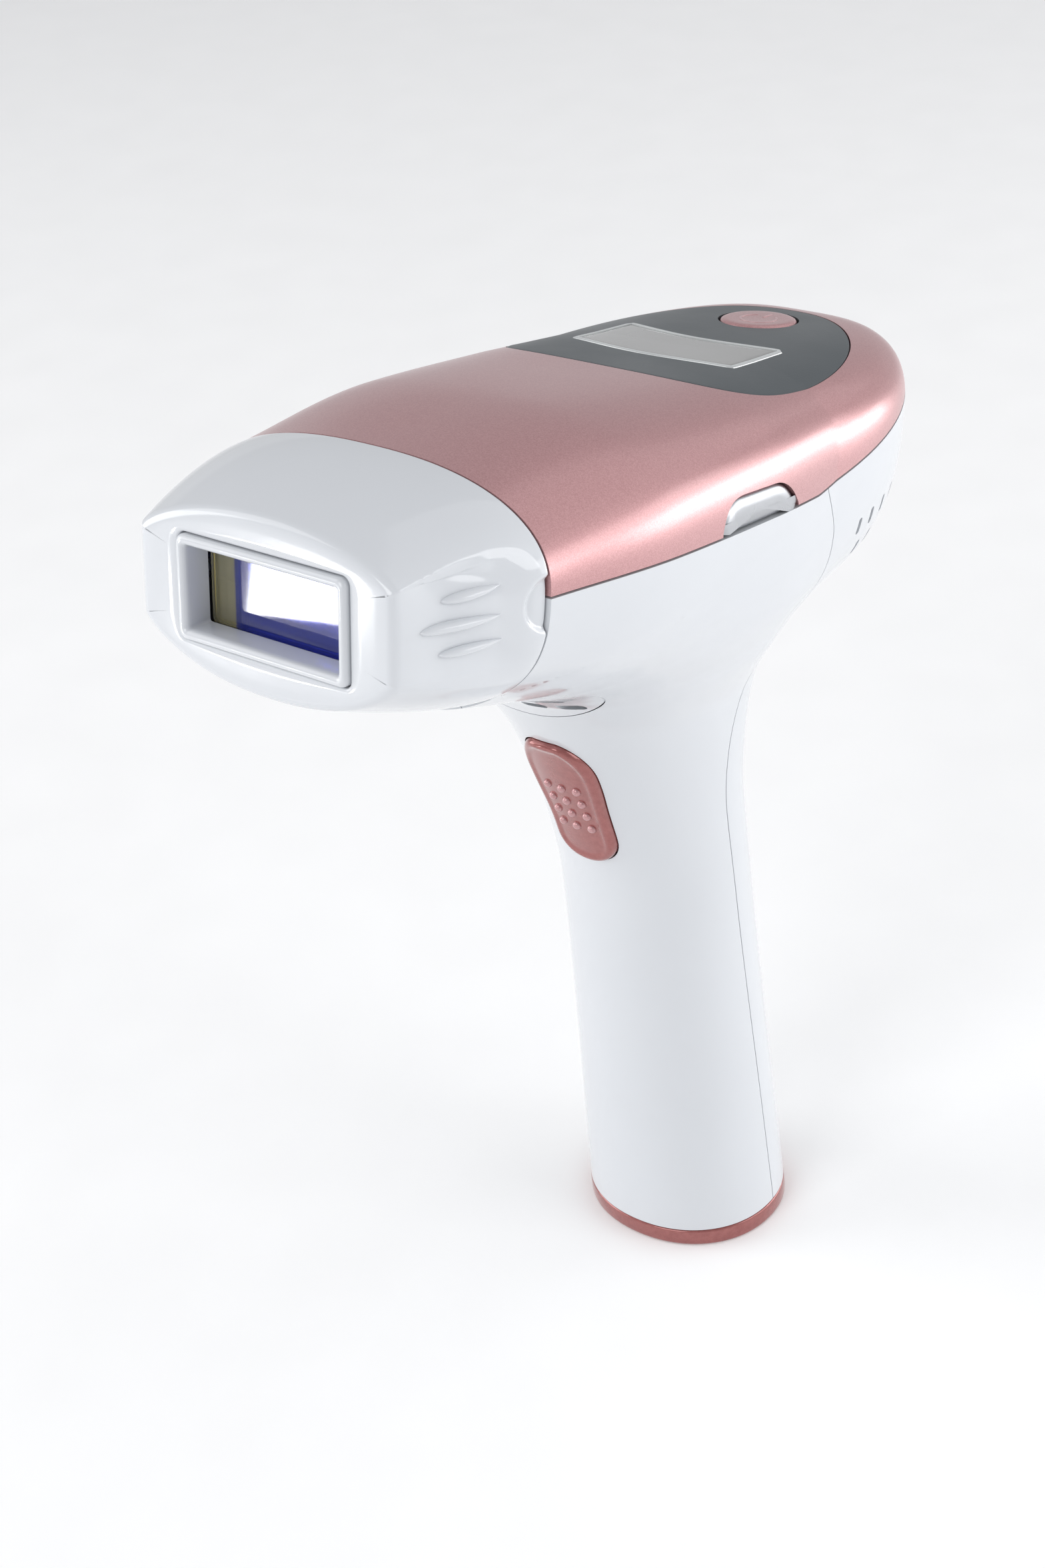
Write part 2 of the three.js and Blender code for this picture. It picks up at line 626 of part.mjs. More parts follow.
[-1, 1].forEach((side) => {
  const name = side > 0 ? "contact_spring_left" : "contact_spring_right";
  const made = mesh(head, name, spring(1.3, 4.6, 4, 0.2), STEEL);
  made.rotation.x = Math.PI / 2;
  made.position.set(side * 21.4, 8.5, 0);
});

// ---- Body's inner parts, in the head's frame ----

const socket = box(28, 9, 12, 0, 32.6, 0).subtract(box(24.8, 9, 8.8, 0, 31.4, 0));
mesh(head, "cartridge_socket", socket, DARK);

// Finned block that the fan blows on.
function heatSink() {
  const fins = [box(30, 1.6, 7, 0, 38.4, -11.6)];
  for (let i = -4; i <= 4; i++) fins.push(box(1, 9, 7, i * 3.6, 33.4, -11.6));
  return union(fins);
}
mesh(head, "heat_sink", heatSink(), ALUMINIUM);

// The fan: a square frame round a hub with seven blades, which blow aft.
function fanFrame() {
  const ring = box(FAN.size, FAN.depth, FAN.size, 0, FAN.y, 0).subtract(
    rod(FAN.radius, 30, "y", 0, FAN.y, 0, 32),
  );
  const arms = [0, 1, 2].map((i) => {
    const arm = new THREE.BoxGeometry(FAN.radius + 1, 1.2, 1.6).translate((FAN.radius + 1) / 2, 0, 0);
    return solid(arm.rotateY((i * 2 * Math.PI) / 3 + 0.4).translate(0, FAN.y + 4.4, 0));
  });
  const motor = rod(5, 1.2, "y", 0, FAN.y + 4.4, 0, 20);
  return union([ring, motor, ...arms]);
}
mesh(head, "fan_frame", fanFrame(), DARK);
function fanRotor() {
  const pieces = [rod(5.4, 7.4, "y", 0, 0, 0, 16)];
  for (let i = 0; i < 7; i++) {
    const blade = new THREE.BoxGeometry(10.8, 0.8, 7.4).rotateX(0.7).translate(10.2, 0, 0);
    pieces.push(solid(blade.rotateY((i * 2 * Math.PI) / 7)));
  }
  return union(pieces);
}
mesh(head, "fan_rotor", fanRotor(), DARK).position.set(0, FAN.y - 0.6, 0);

const coil = rod(6, 14, "x", 16, 62, -12, 20).add(box(3, 9, 15, 16, 62, -12));
mesh(head, "ignition_coil", coil, FOIL);

const board = box(44, 60, 1.6, 0, 97, 8);
const boardHoles = [[-19, 70], [19, 70], [-19, 124], [19, 124]];
const boardBored = board.subtract(union(boardHoles.map(([x, y]) => rod(1.5, 10, "z", x, y, 8, 12))));
mesh(head, "main_board", boardBored, BOARD);
boardHoles.forEach(([x, y], i) => {
  mesh(head, `board_screw_${i + 1}`, screw(6, 1.2, 2.2, 1), STEEL).position.set(x, y, 10.2);
});
mesh(head, "lcd_module", box(34, 17, 6.2, 0, 105, 13.4), DARK);

const buttonTop = headTop(BUTTON.y) + 0.3;
const buttonProfile = [
  [0, -4.4],
  [1.6, -4.4],
  [1.6, -2.4],
  [BUTTON.radius, -2.4],
  [BUTTON.radius, -0.7],
  [BUTTON.radius - 0.7, 0],
  [0, -0.3],
];
mesh(head, "power_button", turned(buttonProfile), ROSE).position.set(0, BUTTON.y, buttonTop);
const tact = box(6, 6, 5, 0, BUTTON.y, 13.4).add(rod(1.4, 1, "z", 0, BUTTON.y, 16.2, 12));
mesh(head, "button_board", box(20, 12, 1.6, 0, BUTTON.y, 9.8), BOARD);
mesh(head, "power_switch", tact, DARK);

// ---- In the grip ----

const capacitorProfile = [
  [0, 0],
  [12.4, 0],
  [13, 0.6],
  [13, 4],
  [12.5, 4.6],
  [13, 5.2],
  [13, 58.4],
  [12.4, 59],
  [0, 59],
];
mesh(part, "flash_capacitor", turned(capacitorProfile), FOIL).position.set(0, 0, 17);

export default part;
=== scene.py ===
# %% [markdown]
# # A light hair remover, rebuilt as a lesson
# The object is a pistol-shaped beauty device: a lamp head on a round grip. Its body was
# already made as plain solids with joints, and this script dresses those solids. The first
# step loads them, so that each finer piece can go exactly where its solid is.

import json

import bmesh
import bpy
import numpy as np
from mathutils import Matrix, Vector

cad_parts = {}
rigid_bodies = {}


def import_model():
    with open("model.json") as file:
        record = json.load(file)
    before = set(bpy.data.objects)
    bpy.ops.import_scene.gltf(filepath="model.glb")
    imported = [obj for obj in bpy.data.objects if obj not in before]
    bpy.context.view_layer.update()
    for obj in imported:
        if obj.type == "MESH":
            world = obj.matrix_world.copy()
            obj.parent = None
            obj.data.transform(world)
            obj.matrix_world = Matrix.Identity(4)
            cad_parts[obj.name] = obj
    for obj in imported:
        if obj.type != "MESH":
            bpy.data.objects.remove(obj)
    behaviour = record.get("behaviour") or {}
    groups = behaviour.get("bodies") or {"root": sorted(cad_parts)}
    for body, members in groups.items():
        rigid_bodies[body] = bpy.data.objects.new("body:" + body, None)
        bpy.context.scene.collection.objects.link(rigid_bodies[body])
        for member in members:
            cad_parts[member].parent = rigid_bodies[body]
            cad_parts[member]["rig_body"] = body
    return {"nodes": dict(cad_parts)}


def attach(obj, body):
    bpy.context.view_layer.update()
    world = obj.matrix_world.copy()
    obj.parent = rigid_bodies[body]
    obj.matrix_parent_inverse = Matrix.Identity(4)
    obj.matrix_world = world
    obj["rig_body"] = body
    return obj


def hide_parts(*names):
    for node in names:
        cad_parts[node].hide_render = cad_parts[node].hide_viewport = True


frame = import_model()
bpy.context.view_layer.update()

# %% [markdown]
# ## Two frames of reference
# The grip stands upright, but the head tips up by 11 degrees. Shapes are easiest to write
# where they are straight, so the head's pieces are written in a head frame, whose origin
# is the middle of the lamp window, and turned into the part's frame at the end. Every
# length is in millimetres until a mesh is made.

# %% Frames and units
MM = 0.001
LEAN = np.radians(11.16)
COS, SIN = np.cos(LEAN), np.sin(LEAN)
WINDOW_Y, WINDOW_Z = -88.02, 179.53


def to_part(points):
    """Head frame to part frame."""
    x, y, z = np.moveaxis(np.asarray(points, float), -1, 0)
    return np.stack([x, COS * y + SIN * z + WINDOW_Y, COS * z - SIN * y + WINDOW_Z], -1)


def to_head(points):
    """Part frame to head frame."""
    x, y, z = np.moveaxis(np.asarray(points, float), -1, 0)
    y, z = y - WINDOW_Y, z - WINDOW_Z
    return np.stack([x, COS * y - SIN * z, SIN * y + COS * z], -1)


print("window centre in the part frame:", to_part([0, 0, 0]))

# %% [markdown]
# ## Smooth curves through a few sizes
# A moulded body has no corners along its length: its width and height run smoothly
# through a few known values. A cubic curve with harmonic slopes passes through them
# without bulging past them, which an ordinary spline would do.


# %% A curve through given values
def smooth_through(places, values):
    places, values = np.array(places, float), np.array(values, float)
    step = np.diff(places)
    slope = np.diff(values) / step
    tangent = np.concatenate([slope[:1], np.zeros(len(slope) - 1), slope[-1:]])
    both = slope[:-1] * slope[1:]
    rising = both > 0
    tangent[1:-1][rising] = 2 * both[rising] / (slope[:-1] + slope[1:])[rising]

    def curve(x):
        x = np.asarray(x, float)
        i = np.clip(np.searchsorted(places, x) - 1, 0, len(step) - 1)
        t = np.clip((x - places[i]) / step[i], 0, 1)
        ends = t * (1 - t) * step[i]
        lean_in = ends * (1 - t) * tangent[i]
        lean_out = ends * t * tangent[i + 1]
        return values[i] + (values[i + 1] - values[i]) * t * t * (3 - 2 * t) + lean_in - lean_out

    return curve


def ease(low, high, x):
    """0 below low, 1 above high, smooth between."""
    t = np.clip((x - low) / (high - low), 0, 1)
    return t * t * (3 - 2 * t)


# %% [markdown]
# ## The head and the grip as two fields
# On the real body the head's belly flows into the grip through a soft hollow. Joining two
# meshes would leave a hard line there. Two distance fields can be joined softly instead:
# each field says how far a point is from a surface, and a smooth minimum of the two rounds
# the place where they meet. Both have superellipse sections, fuller than an oval.

# %% Sections of the head
SEAM_Y = 25
SEAM_GAP = 0.2
BODY_FRONT = SEAM_Y + 0.15
head_width = smooth_through([25, 55, 85, 105], [36.5, 39, 38, 36])
head_top = smooth_through([25, 55, 85, 105], [20.8, 23.9, 23.3, 23])
head_bottom = smooth_through([25, 55, 85, 105], [-20, -25, -27, -27])
TAIL_START, TAIL_END = 105, 154.5


def head_section(y):
    """Middle height, half width, and heights above and below the middle."""
    t = np.clip((y - TAIL_START) / (TAIL_END - TAIL_START), 0, 1)
    narrowing = np.sqrt(np.maximum(1 - t**2.6, 1e-6))
    drop = np.sqrt(np.maximum(1 - t**14, 1e-6))
    middle = 3.8 + 10 * (np.maximum(0, y - 85) / 69) ** 2
    up = (head_top(y) - middle) * drop
    down = (middle - head_bottom(y)) * narrowing
    return middle, head_width(y) * narrowing, up, down


def head_roundness(y):
    """The top grows squarer aft of the cartridge."""
    return 2.42 + 0.78 * np.clip((y - SEAM_Y) / 60, 0, 1)


def signed_power(value, power):
    return np.sign(value) * np.abs(value) ** power


def head_point(angle, y):
    """Point of the head's outline at an angle, in the head frame."""
    middle, width, up, down = head_section(y)
    c, s = np.cos(angle), np.sin(angle)
    power = 2 / np.where(s > 0, head_roundness(y), 2.42)
    height = signed_power(s, power) * np.where(s > 0, up, down)
    return np.stack(np.broadcast_arrays(width * signed_power(c, power), y, middle + height), -1)


print("head half width at the seam:", float(head_width(SEAM_Y)), "mm")

# %% Sections of the grip
GRIP_Z = [0, 81, 100, 112, 124, 136, 148, 160]
grip_half = smooth_through(GRIP_Z, [21, 19, 19.1, 19.9, 21.7, 28.3, 34, 35.5])
grip_front = smooth_through(GRIP_Z, [18.4, 16.8, 20.2, 23.8, 28.1, 35.4, 52.7, 80])
grip_rear = smooth_through(GRIP_Z, [18.4, 16.6, 16, 17.9, 22.1, 29.4, 39.6, 52.2])
grip_round = smooth_through(GRIP_Z, [2.1, 2.1, 2.1, 2.1, 2.15, 2.2, 2.25, 2.3])


def grip_point(angle, z, inset=0):
    """Point of the grip's outline at an angle, in the part frame, drawn in by inset."""
    c, s = np.cos(angle), np.sin(angle)
    power = 2 / grip_round(z)
    reach = np.where(s > 0, grip_front(z), grip_rear(z)) - inset
    x = (grip_half(z) - inset) * signed_power(c, power)
    return np.stack(np.broadcast_arrays(x, -reach * signed_power(s, power), z), -1)


print("grip half width in the hand:", float(grip_half(81)), "mm")


# %% Distance fields
def superellipse_gap(x, z, width, height, roundness):
    """How far (x, z) is outside a superellipse, measured along the ray from its middle."""
    share = (np.abs(x) / width) ** roundness + (np.abs(z) / height) ** roundness
    return np.hypot(x, z) * (1 - np.maximum(share, 1e-9) ** (-1 / roundness))


def head_ray_gap(points):
    x, y, z = np.moveaxis(to_head(points), -1, 0)
    middle, width, up, down = head_section(y)
    above = z > middle
    height = np.where(above, up, down)
    roundness = np.where(above, head_roundness(y), 2.42)
    gap = superellipse_gap(x, z - middle, width, height, roundness)
    return gap + np.maximum(0, y - TAIL_END)


# Above this height the grip's field is let go gently, so that the head's belly takes over.
FADE_START, FADE_RATE = 154, 0.06


def grip_ray_gap(points):
    x, y, z = np.moveaxis(points, -1, 0)
    reach = np.where(y < 0, grip_front(z), grip_rear(z))
    gap = superellipse_gap(x, y, grip_half(z), reach, grip_round(z))
    return gap + FADE_RATE * np.maximum(0, z - FADE_START) ** 2


def slope_of(field, points, h=0.03):
    """Gradient of a field by central differences."""
    columns = []
    for axis in np.eye(3) * h:
        columns.append((field(points + axis) - field(points - axis)) / (2 * h))
    return np.stack(columns, -1)


def true_gap(field, points):
    """A field scaled so that it grows by one millimetre in a millimetre."""
    return field(points) / np.maximum(np.linalg.norm(slope_of(field, points), axis=-1), 0.2)


BLEND = 5
# On the grip's axis its field is so steep that it would read as surface and dent the panel
# from below. Above this height the head's field stands alone.
GRIP_ENDS = 178


def body_gap(points):
    a, b = true_gap(head_ray_gap, points), true_gap(grip_ray_gap, points)
    b = np.where(points[..., 2] > GRIP_ENDS, a + BLEND, b)
    near = np.maximum(BLEND - np.abs(a - b), 0) / BLEND
    return np.minimum(a, b) - near * near * BLEND / 4


def walk_to(points, out, level, rounds=8):
    """Slides points along one direction until the body's field reads the level."""
    points = points.copy()
    for _ in range(rounds):
        ahead, behind = body_gap(points + out * 0.03), body_gap(points - out * 0.03)
        rate = np.maximum((ahead - behind) / 0.06, 0.2)
        move = np.clip((level - body_gap(points)) / rate, -4, 4)
        points = points + move[:, None] * out
    return points


# %% [markdown]
# ## From fields to a mesh
# A rough closed mesh is enough to start from: two lofts joined, then the Remesh modifier in
# voxel mode, which gives even squares everywhere. Its corners lie only roughly on the
# surface, so each one is walked along the field's slope until the field reads the level
# asked for: a hair under 0 for the outside, and -2 for the inside of a 2 mm wall.


# %% Making and changing meshes
def mesh_object(name, points, faces):
    """A closed mesh from points in millimetres, its faces turned outwards."""
    mesh = bpy.data.meshes.new(name)
    mesh.from_pydata((np.asarray(points, float) * MM).tolist(), [], faces)
    made = bmesh.new()
    made.from_mesh(mesh)
    bmesh.ops.recalc_face_normals(made, faces=made.faces)
    made.to_mesh(mesh)
    made.free()
    piece = bpy.data.objects.new(name, mesh)
    bpy.context.scene.collection.objects.link(piece)
    return piece


def settle(piece):
    """Turns a piece's modifiers into plain mesh."""
    graph = bpy.context.evaluated_depsgraph_get()
    mesh = bpy.data.meshes.new_from_object(piece.evaluated_get(graph))
    old = piece.data
    piece.modifiers.clear()
    piece.data = mesh
    bpy.data.meshes.remove(old)
    return piece


def twin(piece, name):
    copy = piece.copy()
    copy.data = piece.data.copy()
    copy.name = name
    bpy.context.scene.collection.objects.link(copy)
    return copy


def combine(piece, other, operation):
    """Boolean of two closed meshes. The Manifold solver is quick and keeps them closed."""
    bpy.context.view_layer.update()
    modifier = piece.modifiers.new("combine", "BOOLEAN")
    modifier.operation = operation
    modifier.solver = "MANIFOLD"
    modifier.object = other
    return settle(piece)


def points_of(piece):
    flat = np.empty(len(piece.data.vertices) * 3)
    piece.data.vertices.foreach_get("co", flat)
    return flat.reshape(-1, 3) / MM


def set_points(piece, points):
    piece.data.vertices.foreach_set("co", (points * MM).ravel())
    piece.data.update()


def loft_faces(rings, around, caps=True):
    """Squares between rings of points, and a face over each end."""
    faces = []
    for i in range(rings - 1):
        for j in range(around):
            k = (j + 1) % around
            row, above = i * around, (i + 1) * around
            faces.append((row + j, row + k, above + k, above + j))
    if caps:
        faces.append(tuple(range(around))[::-1])
        faces.append(tuple((rings - 1) * around + j for j in range(around)))
    return faces


def loft(name, rings, caps=True):
    """Rings joined in order. Without caps the last ring joins the first, as in a tyre."""
    rings = np.asarray(rings, float)
    if not caps:
        rings = np.concatenate([rings, rings[:1]])
    faces = loft_faces(rings.shape[0], rings.shape[1], caps)
    piece = mesh_object(name, rings.reshape(-1, 3), faces)
    if not caps:
        made = bmesh.new()
        made.from_mesh(piece.data)
        bmesh.ops.remove_doubles(made, verts=made.verts, dist=1e-7)
        bmesh.ops.recalc_face_normals(made, faces=made.faces)
        made.to_mesh(piece.data)
        made.free()
    return piece


# %% The body's rough shape
turn = np.linspace(0, 2 * np.pi, 128, endpoint=False)
head_y = 12 + (TAIL_END - 0.05 - 12) * (1 - (1 - np.linspace(0, 1, 70)) ** 1.8)
head_blank = loft("head_blank", to_part(head_point(turn[None], head_y[:, None])))
grip_z = np.linspace(-6, 160, 90)
grip_blank = loft("grip_blank", grip_point(turn[None], grip_z[:, None]))
rough = combine(head_blank, grip_blank, "UNION")
bpy.data.objects.remove(grip_blank)
print("rough body:", len(rough.data.polygons), "faces")


# %% Even squares on the true surface
def onto_level(points, level, rounds=8):
    """Walks points along the body's field to a level. Flat end faces are left alone."""
    points = points.copy()
    near = (to_head(points)[:, 1] > 14) & (points[:, 2] > -4)
    moving = points[near]
    for _ in range(rounds):
        slope = slope_of(body_gap, moving)
        size = np.maximum((slope**2).sum(-1), 0.05)
        walk = -((body_gap(moving) - level) / size)[:, None] * slope
        length = np.linalg.norm(walk, axis=1, keepdims=True)
        moving = moving + walk * np.minimum(1, 0.8 / np.maximum(length, 1e-9))
    points[near] = moving
    return points


OUTSIDE_LEVEL = -0.06


def remeshed_body(name, voxel, level):
    piece = twin(rough, name)
    modifier = piece.modifiers.new("even", "REMESH")
    modifier.mode = "VOXEL"
    modifier.voxel_size = voxel * MM
    settle(piece)
    set_points(piece, onto_level(points_of(piece), level))
    return piece


outside = remeshed_body("outside", 0.9, OUTSIDE_LEVEL)
inside = remeshed_body("inside", 2.2, -2)
print("outside:", len(outside.data.polygons), "inside:", len(inside.data.polygons))


# %% [markdown]
# ## Finishes
# The real parts are glossy moulded plastic, pearl lacquer with fine flakes, satin plastic
# and satin chrome. None of them is one flat colour: moulded plastic has a very faint
# orange-peel that bends its reflections, and pearl lacquer glitters. Effects that several
# finishes share are node groups, which put out only heights and masks.


# %% Shared effects as node groups
def new_group(name, inputs, outputs):
    group = bpy.data.node_groups.new(name, "ShaderNodeTree")
    for label, value in inputs.items():
        socket = group.interface.new_socket(label, in_out="INPUT", socket_type="NodeSocketFloat")
        socket.default_value = value
    for label in outputs:
        group.interface.new_socket(label, in_out="OUTPUT", socket_type="NodeSocketFloat")
    entry = group.nodes.new("NodeGroupInput")
    leave = group.nodes.new("NodeGroupOutput")
    return group, entry, leave


def noise_in(tree, coordinates, scale, detail=2.0):
    noise = tree.nodes.new("ShaderNodeTexNoise")
    noise.inputs["Scale"].default_value = scale
    noise.inputs["Detail"].default_value = detail
    tree.links.new(coordinates, noise.inputs["Vector"])
    return noise


def maths(tree, operation, first, second):
    node = tree.nodes.new("ShaderNodeMath")
    node.operation = operation
    for socket, value in zip(node.inputs, (first, second)):
        if isinstance(value, (int, float)):
            socket.default_value = value
        else:
            tree.links.new(value, socket)
    return node.outputs[0]


def moulded_skin():
    """Orange-peel and a slight unevenness of gloss on a moulded or lacquered skin."""
    group, entry, leave = new_group(
        "moulded_skin",
        {"Peel Size": 700.0, "Smear Size": 40.0, "Gloss Low": 0.1, "Gloss High": 0.2},
        ["Height", "Roughness", "Mask"],
    )
    place = group.nodes.new("ShaderNodeTexCoord").outputs["Object"]
    peel = noise_in(group, place, 700.0)
    smear = noise_in(group, place, 40.0, 4.0)
    group.links.new(entry.outputs["Peel Size"], peel.inputs["Scale"])
    group.links.new(entry.outputs["Smear Size"], smear.inputs["Scale"])
    spread = group.nodes.new("ShaderNodeMapRange")
    spread.inputs["From Min"].default_value = 0.35
    spread.inputs["From Max"].default_value = 0.65
    group.links.new(smear.outputs[0], spread.inputs["Value"])
    group.links.new(entry.outputs["Gloss Low"], spread.inputs["To Min"])
    group.links.new(entry.outputs["Gloss High"], spread.inputs["To Max"])
    group.links.new(peel.outputs[0], leave.inputs["Height"])
    group.links.new(spread.outputs[0], leave.inputs["Roughness"])
    group.links.new(smear.outputs[0], leave.inputs["Mask"])
    return group


def flakes():
    """Fine metal flakes: a random brightness for each small cell."""
    group, entry, leave = new_group("flakes", {"Flake Size": 6500.0}, ["Sparkle", "Drift"])
    place = group.nodes.new("ShaderNodeTexCoord").outputs["Object"]
    cells = group.nodes.new("ShaderNodeTexVoronoi")
    group.links.new(place, cells.inputs["Vector"])
    group.links.new(entry.outputs["Flake Size"], cells.inputs["Scale"])
    grey = group.nodes.new("ShaderNodeSeparateColor")
    group.links.new(cells.outputs["Color"], grey.inputs[0])
    drift = noise_in(group, place, 900.0, 2.0)
    group.links.new(grey.outputs[0], leave.inputs["Sparkle"])
    group.links.new(drift.outputs[0], leave.inputs["Drift"])
    return group


SKIN, FLAKES = moulded_skin(), flakes()
print("effects:", SKIN.name, FLAKES.name)


# %% Materials from those effects
def use(material, group, **values):
    node = material.node_tree.nodes.new("ShaderNodeGroup")
    node.node_tree = group
    for label, value in values.items():
        node.inputs[label.replace("_", " ")].default_value = value
    return node


def finish(name, colour, roughness, metallic=0.0, peel=0.0, peel_size=700.0, **sockets):
    """A material with orange-peel, uneven gloss and a colour that varies a little."""
    material = bpy.data.materials.new(name)
    material.use_nodes = True
    tree = material.node_tree
    shader = tree.nodes["Principled BSDF"]
    shader.inputs["Metallic"].default_value = metallic
    for label, value in sockets.items():
        shader.inputs[label.replace("_", " ")].default_value = value
    low, high = roughness
    skin = use(material, SKIN, Peel_Size=peel_size, Gloss_Low=low, Gloss_High=high)
    tree.links.new(skin.outputs["Roughness"], shader.inputs["Roughness"])
    bump = tree.nodes.new("ShaderNodeBump")
    bump.inputs["Distance"].default_value = 0.0001
    bump.inputs["Strength"].default_value = peel
    tree.links.new(skin.outputs["Height"], bump.inputs["Height"])
    tree.links.new(bump.outputs["Normal"], shader.inputs["Normal"])
    mix = tree.nodes.new("ShaderNodeMix")
    mix.data_type = "RGBA"
    mix.inputs["A"].default_value = (*[c * 0.975 for c in colour], 1)
    mix.inputs["B"].default_value = (*[min(1, c * 1.02) for c in colour], 1)
    tree.links.new(skin.outputs["Mask"], mix.inputs["Factor"])
    tree.links.new(mix.outputs["Result"], shader.inputs["Base Color"])
    return material


def pearl(name, dark, light, roughness, metallic, sparkle=0.5, **sockets):
    """Pearl lacquer: flakes of two shades under a clear coat."""
    material = finish(name, light, roughness, metallic, peel=0.06, **sockets)
    tree = material.node_tree
    mix = next(n for n in tree.nodes if n.bl_idname == "ShaderNodeMix")
    mix.inputs["A"].default_value = (*dark, 1)
    mix.inputs["B"].default_value = (*light, 1)
    flake = use(material, FLAKES)
    share = maths(tree, "MULTIPLY", flake.outputs["Sparkle"], sparkle)
    drift = maths(tree, "MULTIPLY", flake.outputs["Drift"], 1 - sparkle)
    tree.links.new(maths(tree, "ADD", share, drift), mix.inputs["Factor"])
    return material


WHITE = finish(
    "white_gloss", (0.66, 0.68, 0.71), (0.09, 0.16),
    peel=0.05, Coat_Weight=0.4, Coat_Roughness=0.05,
)
ROSE = pearl(
    "rose_pearl", (0.46, 0.235, 0.24), (0.58, 0.32, 0.325), (0.3, 0.34), 0.5,
    sparkle=0.85, Coat_Weight=0.5, Coat_Roughness=0.16,
)
ROSE_GLOSS = pearl(
    "rose_gloss", (0.24, 0.06, 0.055), (0.40, 0.13, 0.12), (0.2, 0.26), 0.4,
    sparkle=0.2, Coat_Weight=0.8, Coat_Roughness=0.06, Coat_IOR=1.5,
)
MARK = finish("pale_rose_mark", (0.60, 0.41, 0.42), (0.3, 0.4), 0.3)
SLATE = finish("slate_satin", (0.066, 0.078, 0.085), (0.32, 0.4), peel=0.12, peel_size=2600.0)
CHROME = finish("satin_chrome", (0.44, 0.45, 0.47), (0.24, 0.32), 1.0, peel=0.08, peel_size=2200.0)
SILVER_LINE = finish("silver_line", (0.66, 0.68, 0.68), (0.3, 0.4), 0.3, peel=0.05)
LCD = finish("smoked_lens", (0.30, 0.30, 0.29), (0.14, 0.2), peel=0.02, Coat_Weight=0.6)
DARK = finish("black_plastic", (0.018, 0.018, 0.02), (0.4, 0.55), peel=0.2, peel_size=1800.0)
GOLD = finish("gold_mirror", (0.92, 0.80, 0.28), (0.1, 0.16), 1.0, peel=0.3, peel_size=160.0)
STEEL = finish("plain_steel", (0.46, 0.47, 0.49), (0.3, 0.4), 1.0, peel=0.1)
FINS = finish("milled_aluminium", (0.6, 0.61, 0.62), (0.32, 0.44), 1.0, peel=0.15, peel_size=1400.0)
BOARD = finish("green_board", (0.02, 0.14, 0.07), (0.3, 0.42), peel=0.2, peel_size=1200.0)
SLEEVE = finish("shrink_sleeve", (0.02, 0.02, 0.035), (0.25, 0.35), peel=0.1)


# Along the glass's x, in metres: where the pale gold strip, a painted reflection of the gold
# reflector, fades in.
PAINTED_GOLD_FADE_START, PAINTED_GOLD_FULL = -0.0113, -0.0118


def coated_glass():
    """Blue coated glass, with a pale gold strip painted at one end: a painted reflection of the
    gold reflector seen through the glass.
    """
    material = finish(
        "blue_filter", (0.12, 0.16, 0.92), (0.02, 0.04), Transmission_Weight=0.85, IOR=1.7
    )
    tree = material.node_tree
    shader = tree.nodes["Principled BSDF"]
    split = tree.nodes.new("ShaderNodeSeparateXYZ")
    tree.links.new(tree.nodes.new("ShaderNodeTexCoord").outputs["Object"], split.inputs[0])
    # The pale gold end is painted: a painted reflection of the gold reflector seen through the
    # glass.
    painted_gold = tree.nodes.new("ShaderNodeMapRange")
    painted_gold.interpolation_type = "SMOOTHSTEP"
    painted_gold.inputs["From Min"].default_value = PAINTED_GOLD_FADE_START
    painted_gold.inputs["From Max"].default_value = PAINTED_GOLD_FULL
    tree.links.new(split.outputs["X"], painted_gold.inputs["Value"])
    mix = tree.nodes.new("ShaderNodeMix")
    mix.data_type = "RGBA"
    tree.links.new(painted_gold.outputs[0], mix.inputs["Factor"])
    tree.links.new(shader.inputs["Base Color"].links[0].from_socket, mix.inputs["A"])
    mix.inputs["B"].default_value = (0.95, 0.90, 0.62, 1)
    tree.links.new(mix.outputs["Result"], shader.inputs["Base Color"])
    return material


FILTER = coated_glass()
QUARTZ = finish("quartz_tube", (0.9, 0.93, 0.95), (0.02, 0.05), Transmission_Weight=0.9, IOR=1.46)
print("finishes:", len(bpy.data.materials))

# %% [markdown]
# ## Cutting the body into shells
# The real body is two shells that meet on a seam round the grip, a grille, and a cover on
# top. Each is the same wall cut by plain prisms, so neighbours share one smooth surface
# and only a hairline parts them. The prisms' outlines are written in side or top view.


# %% Prisms to cut with
def prism(name, base, sweep):
    """A closed prism: an outline in space, and the way it is swept."""
    base = np.asarray(base, float)
    return loft(name, [base, base + np.asarray(sweep, float)])


def upright(x, z, y):
    """Outline points x and z, all at one y."""
    return np.column_stack([x, np.full(len(x), y), z])


def facing_block(name, left, right, front, half_height, thickness):
    """A box in the head frame, given by its front face and swept aft."""
    low, high = -half_height, half_height
    corners = [(left, front, low), (right, front, low), (right, front, high), (left, front, high)]
    return prism(name, to_part(corners), AFT * thickness)


def across_head(name, side_view, start=-60, length=120):
    yz = np.asarray(side_view, float)
    base = to_part(np.column_stack([np.full(len(yz), start), yz]))
    return prism(name, base, (length, 0, 0))


def across_grip(name, side_view):
    yz = np.asarray(side_view, float)
    return prism(name, np.column_stack([np.full(len(yz), -60), yz]), (120, 0, 0))


UP = np.array([0, SIN, COS])
AFT = np.array([0, COS, -SIN])


def above_head(name, top_view):
    xy = np.asarray(top_view, float)
    base = to_part(np.column_stack([xy, np.zeros(len(xy))]))
    return prism(name, base, UP * 60)


def belt_height(y):
    """The top cover's lower edge in side view."""
    return 3.5 + 14.5 * np.clip((y - 98) / 56.5, 0, 1) ** 1.2


def above_belt(name, offset):
    y = np.concatenate([[10], np.linspace(97, 154.5, 48), [175]])
    edge = np.column_stack([y, belt_height(y) + offset])
    return across_head(name, np.concatenate([edge, [[175, 60], [10, 60]]]))


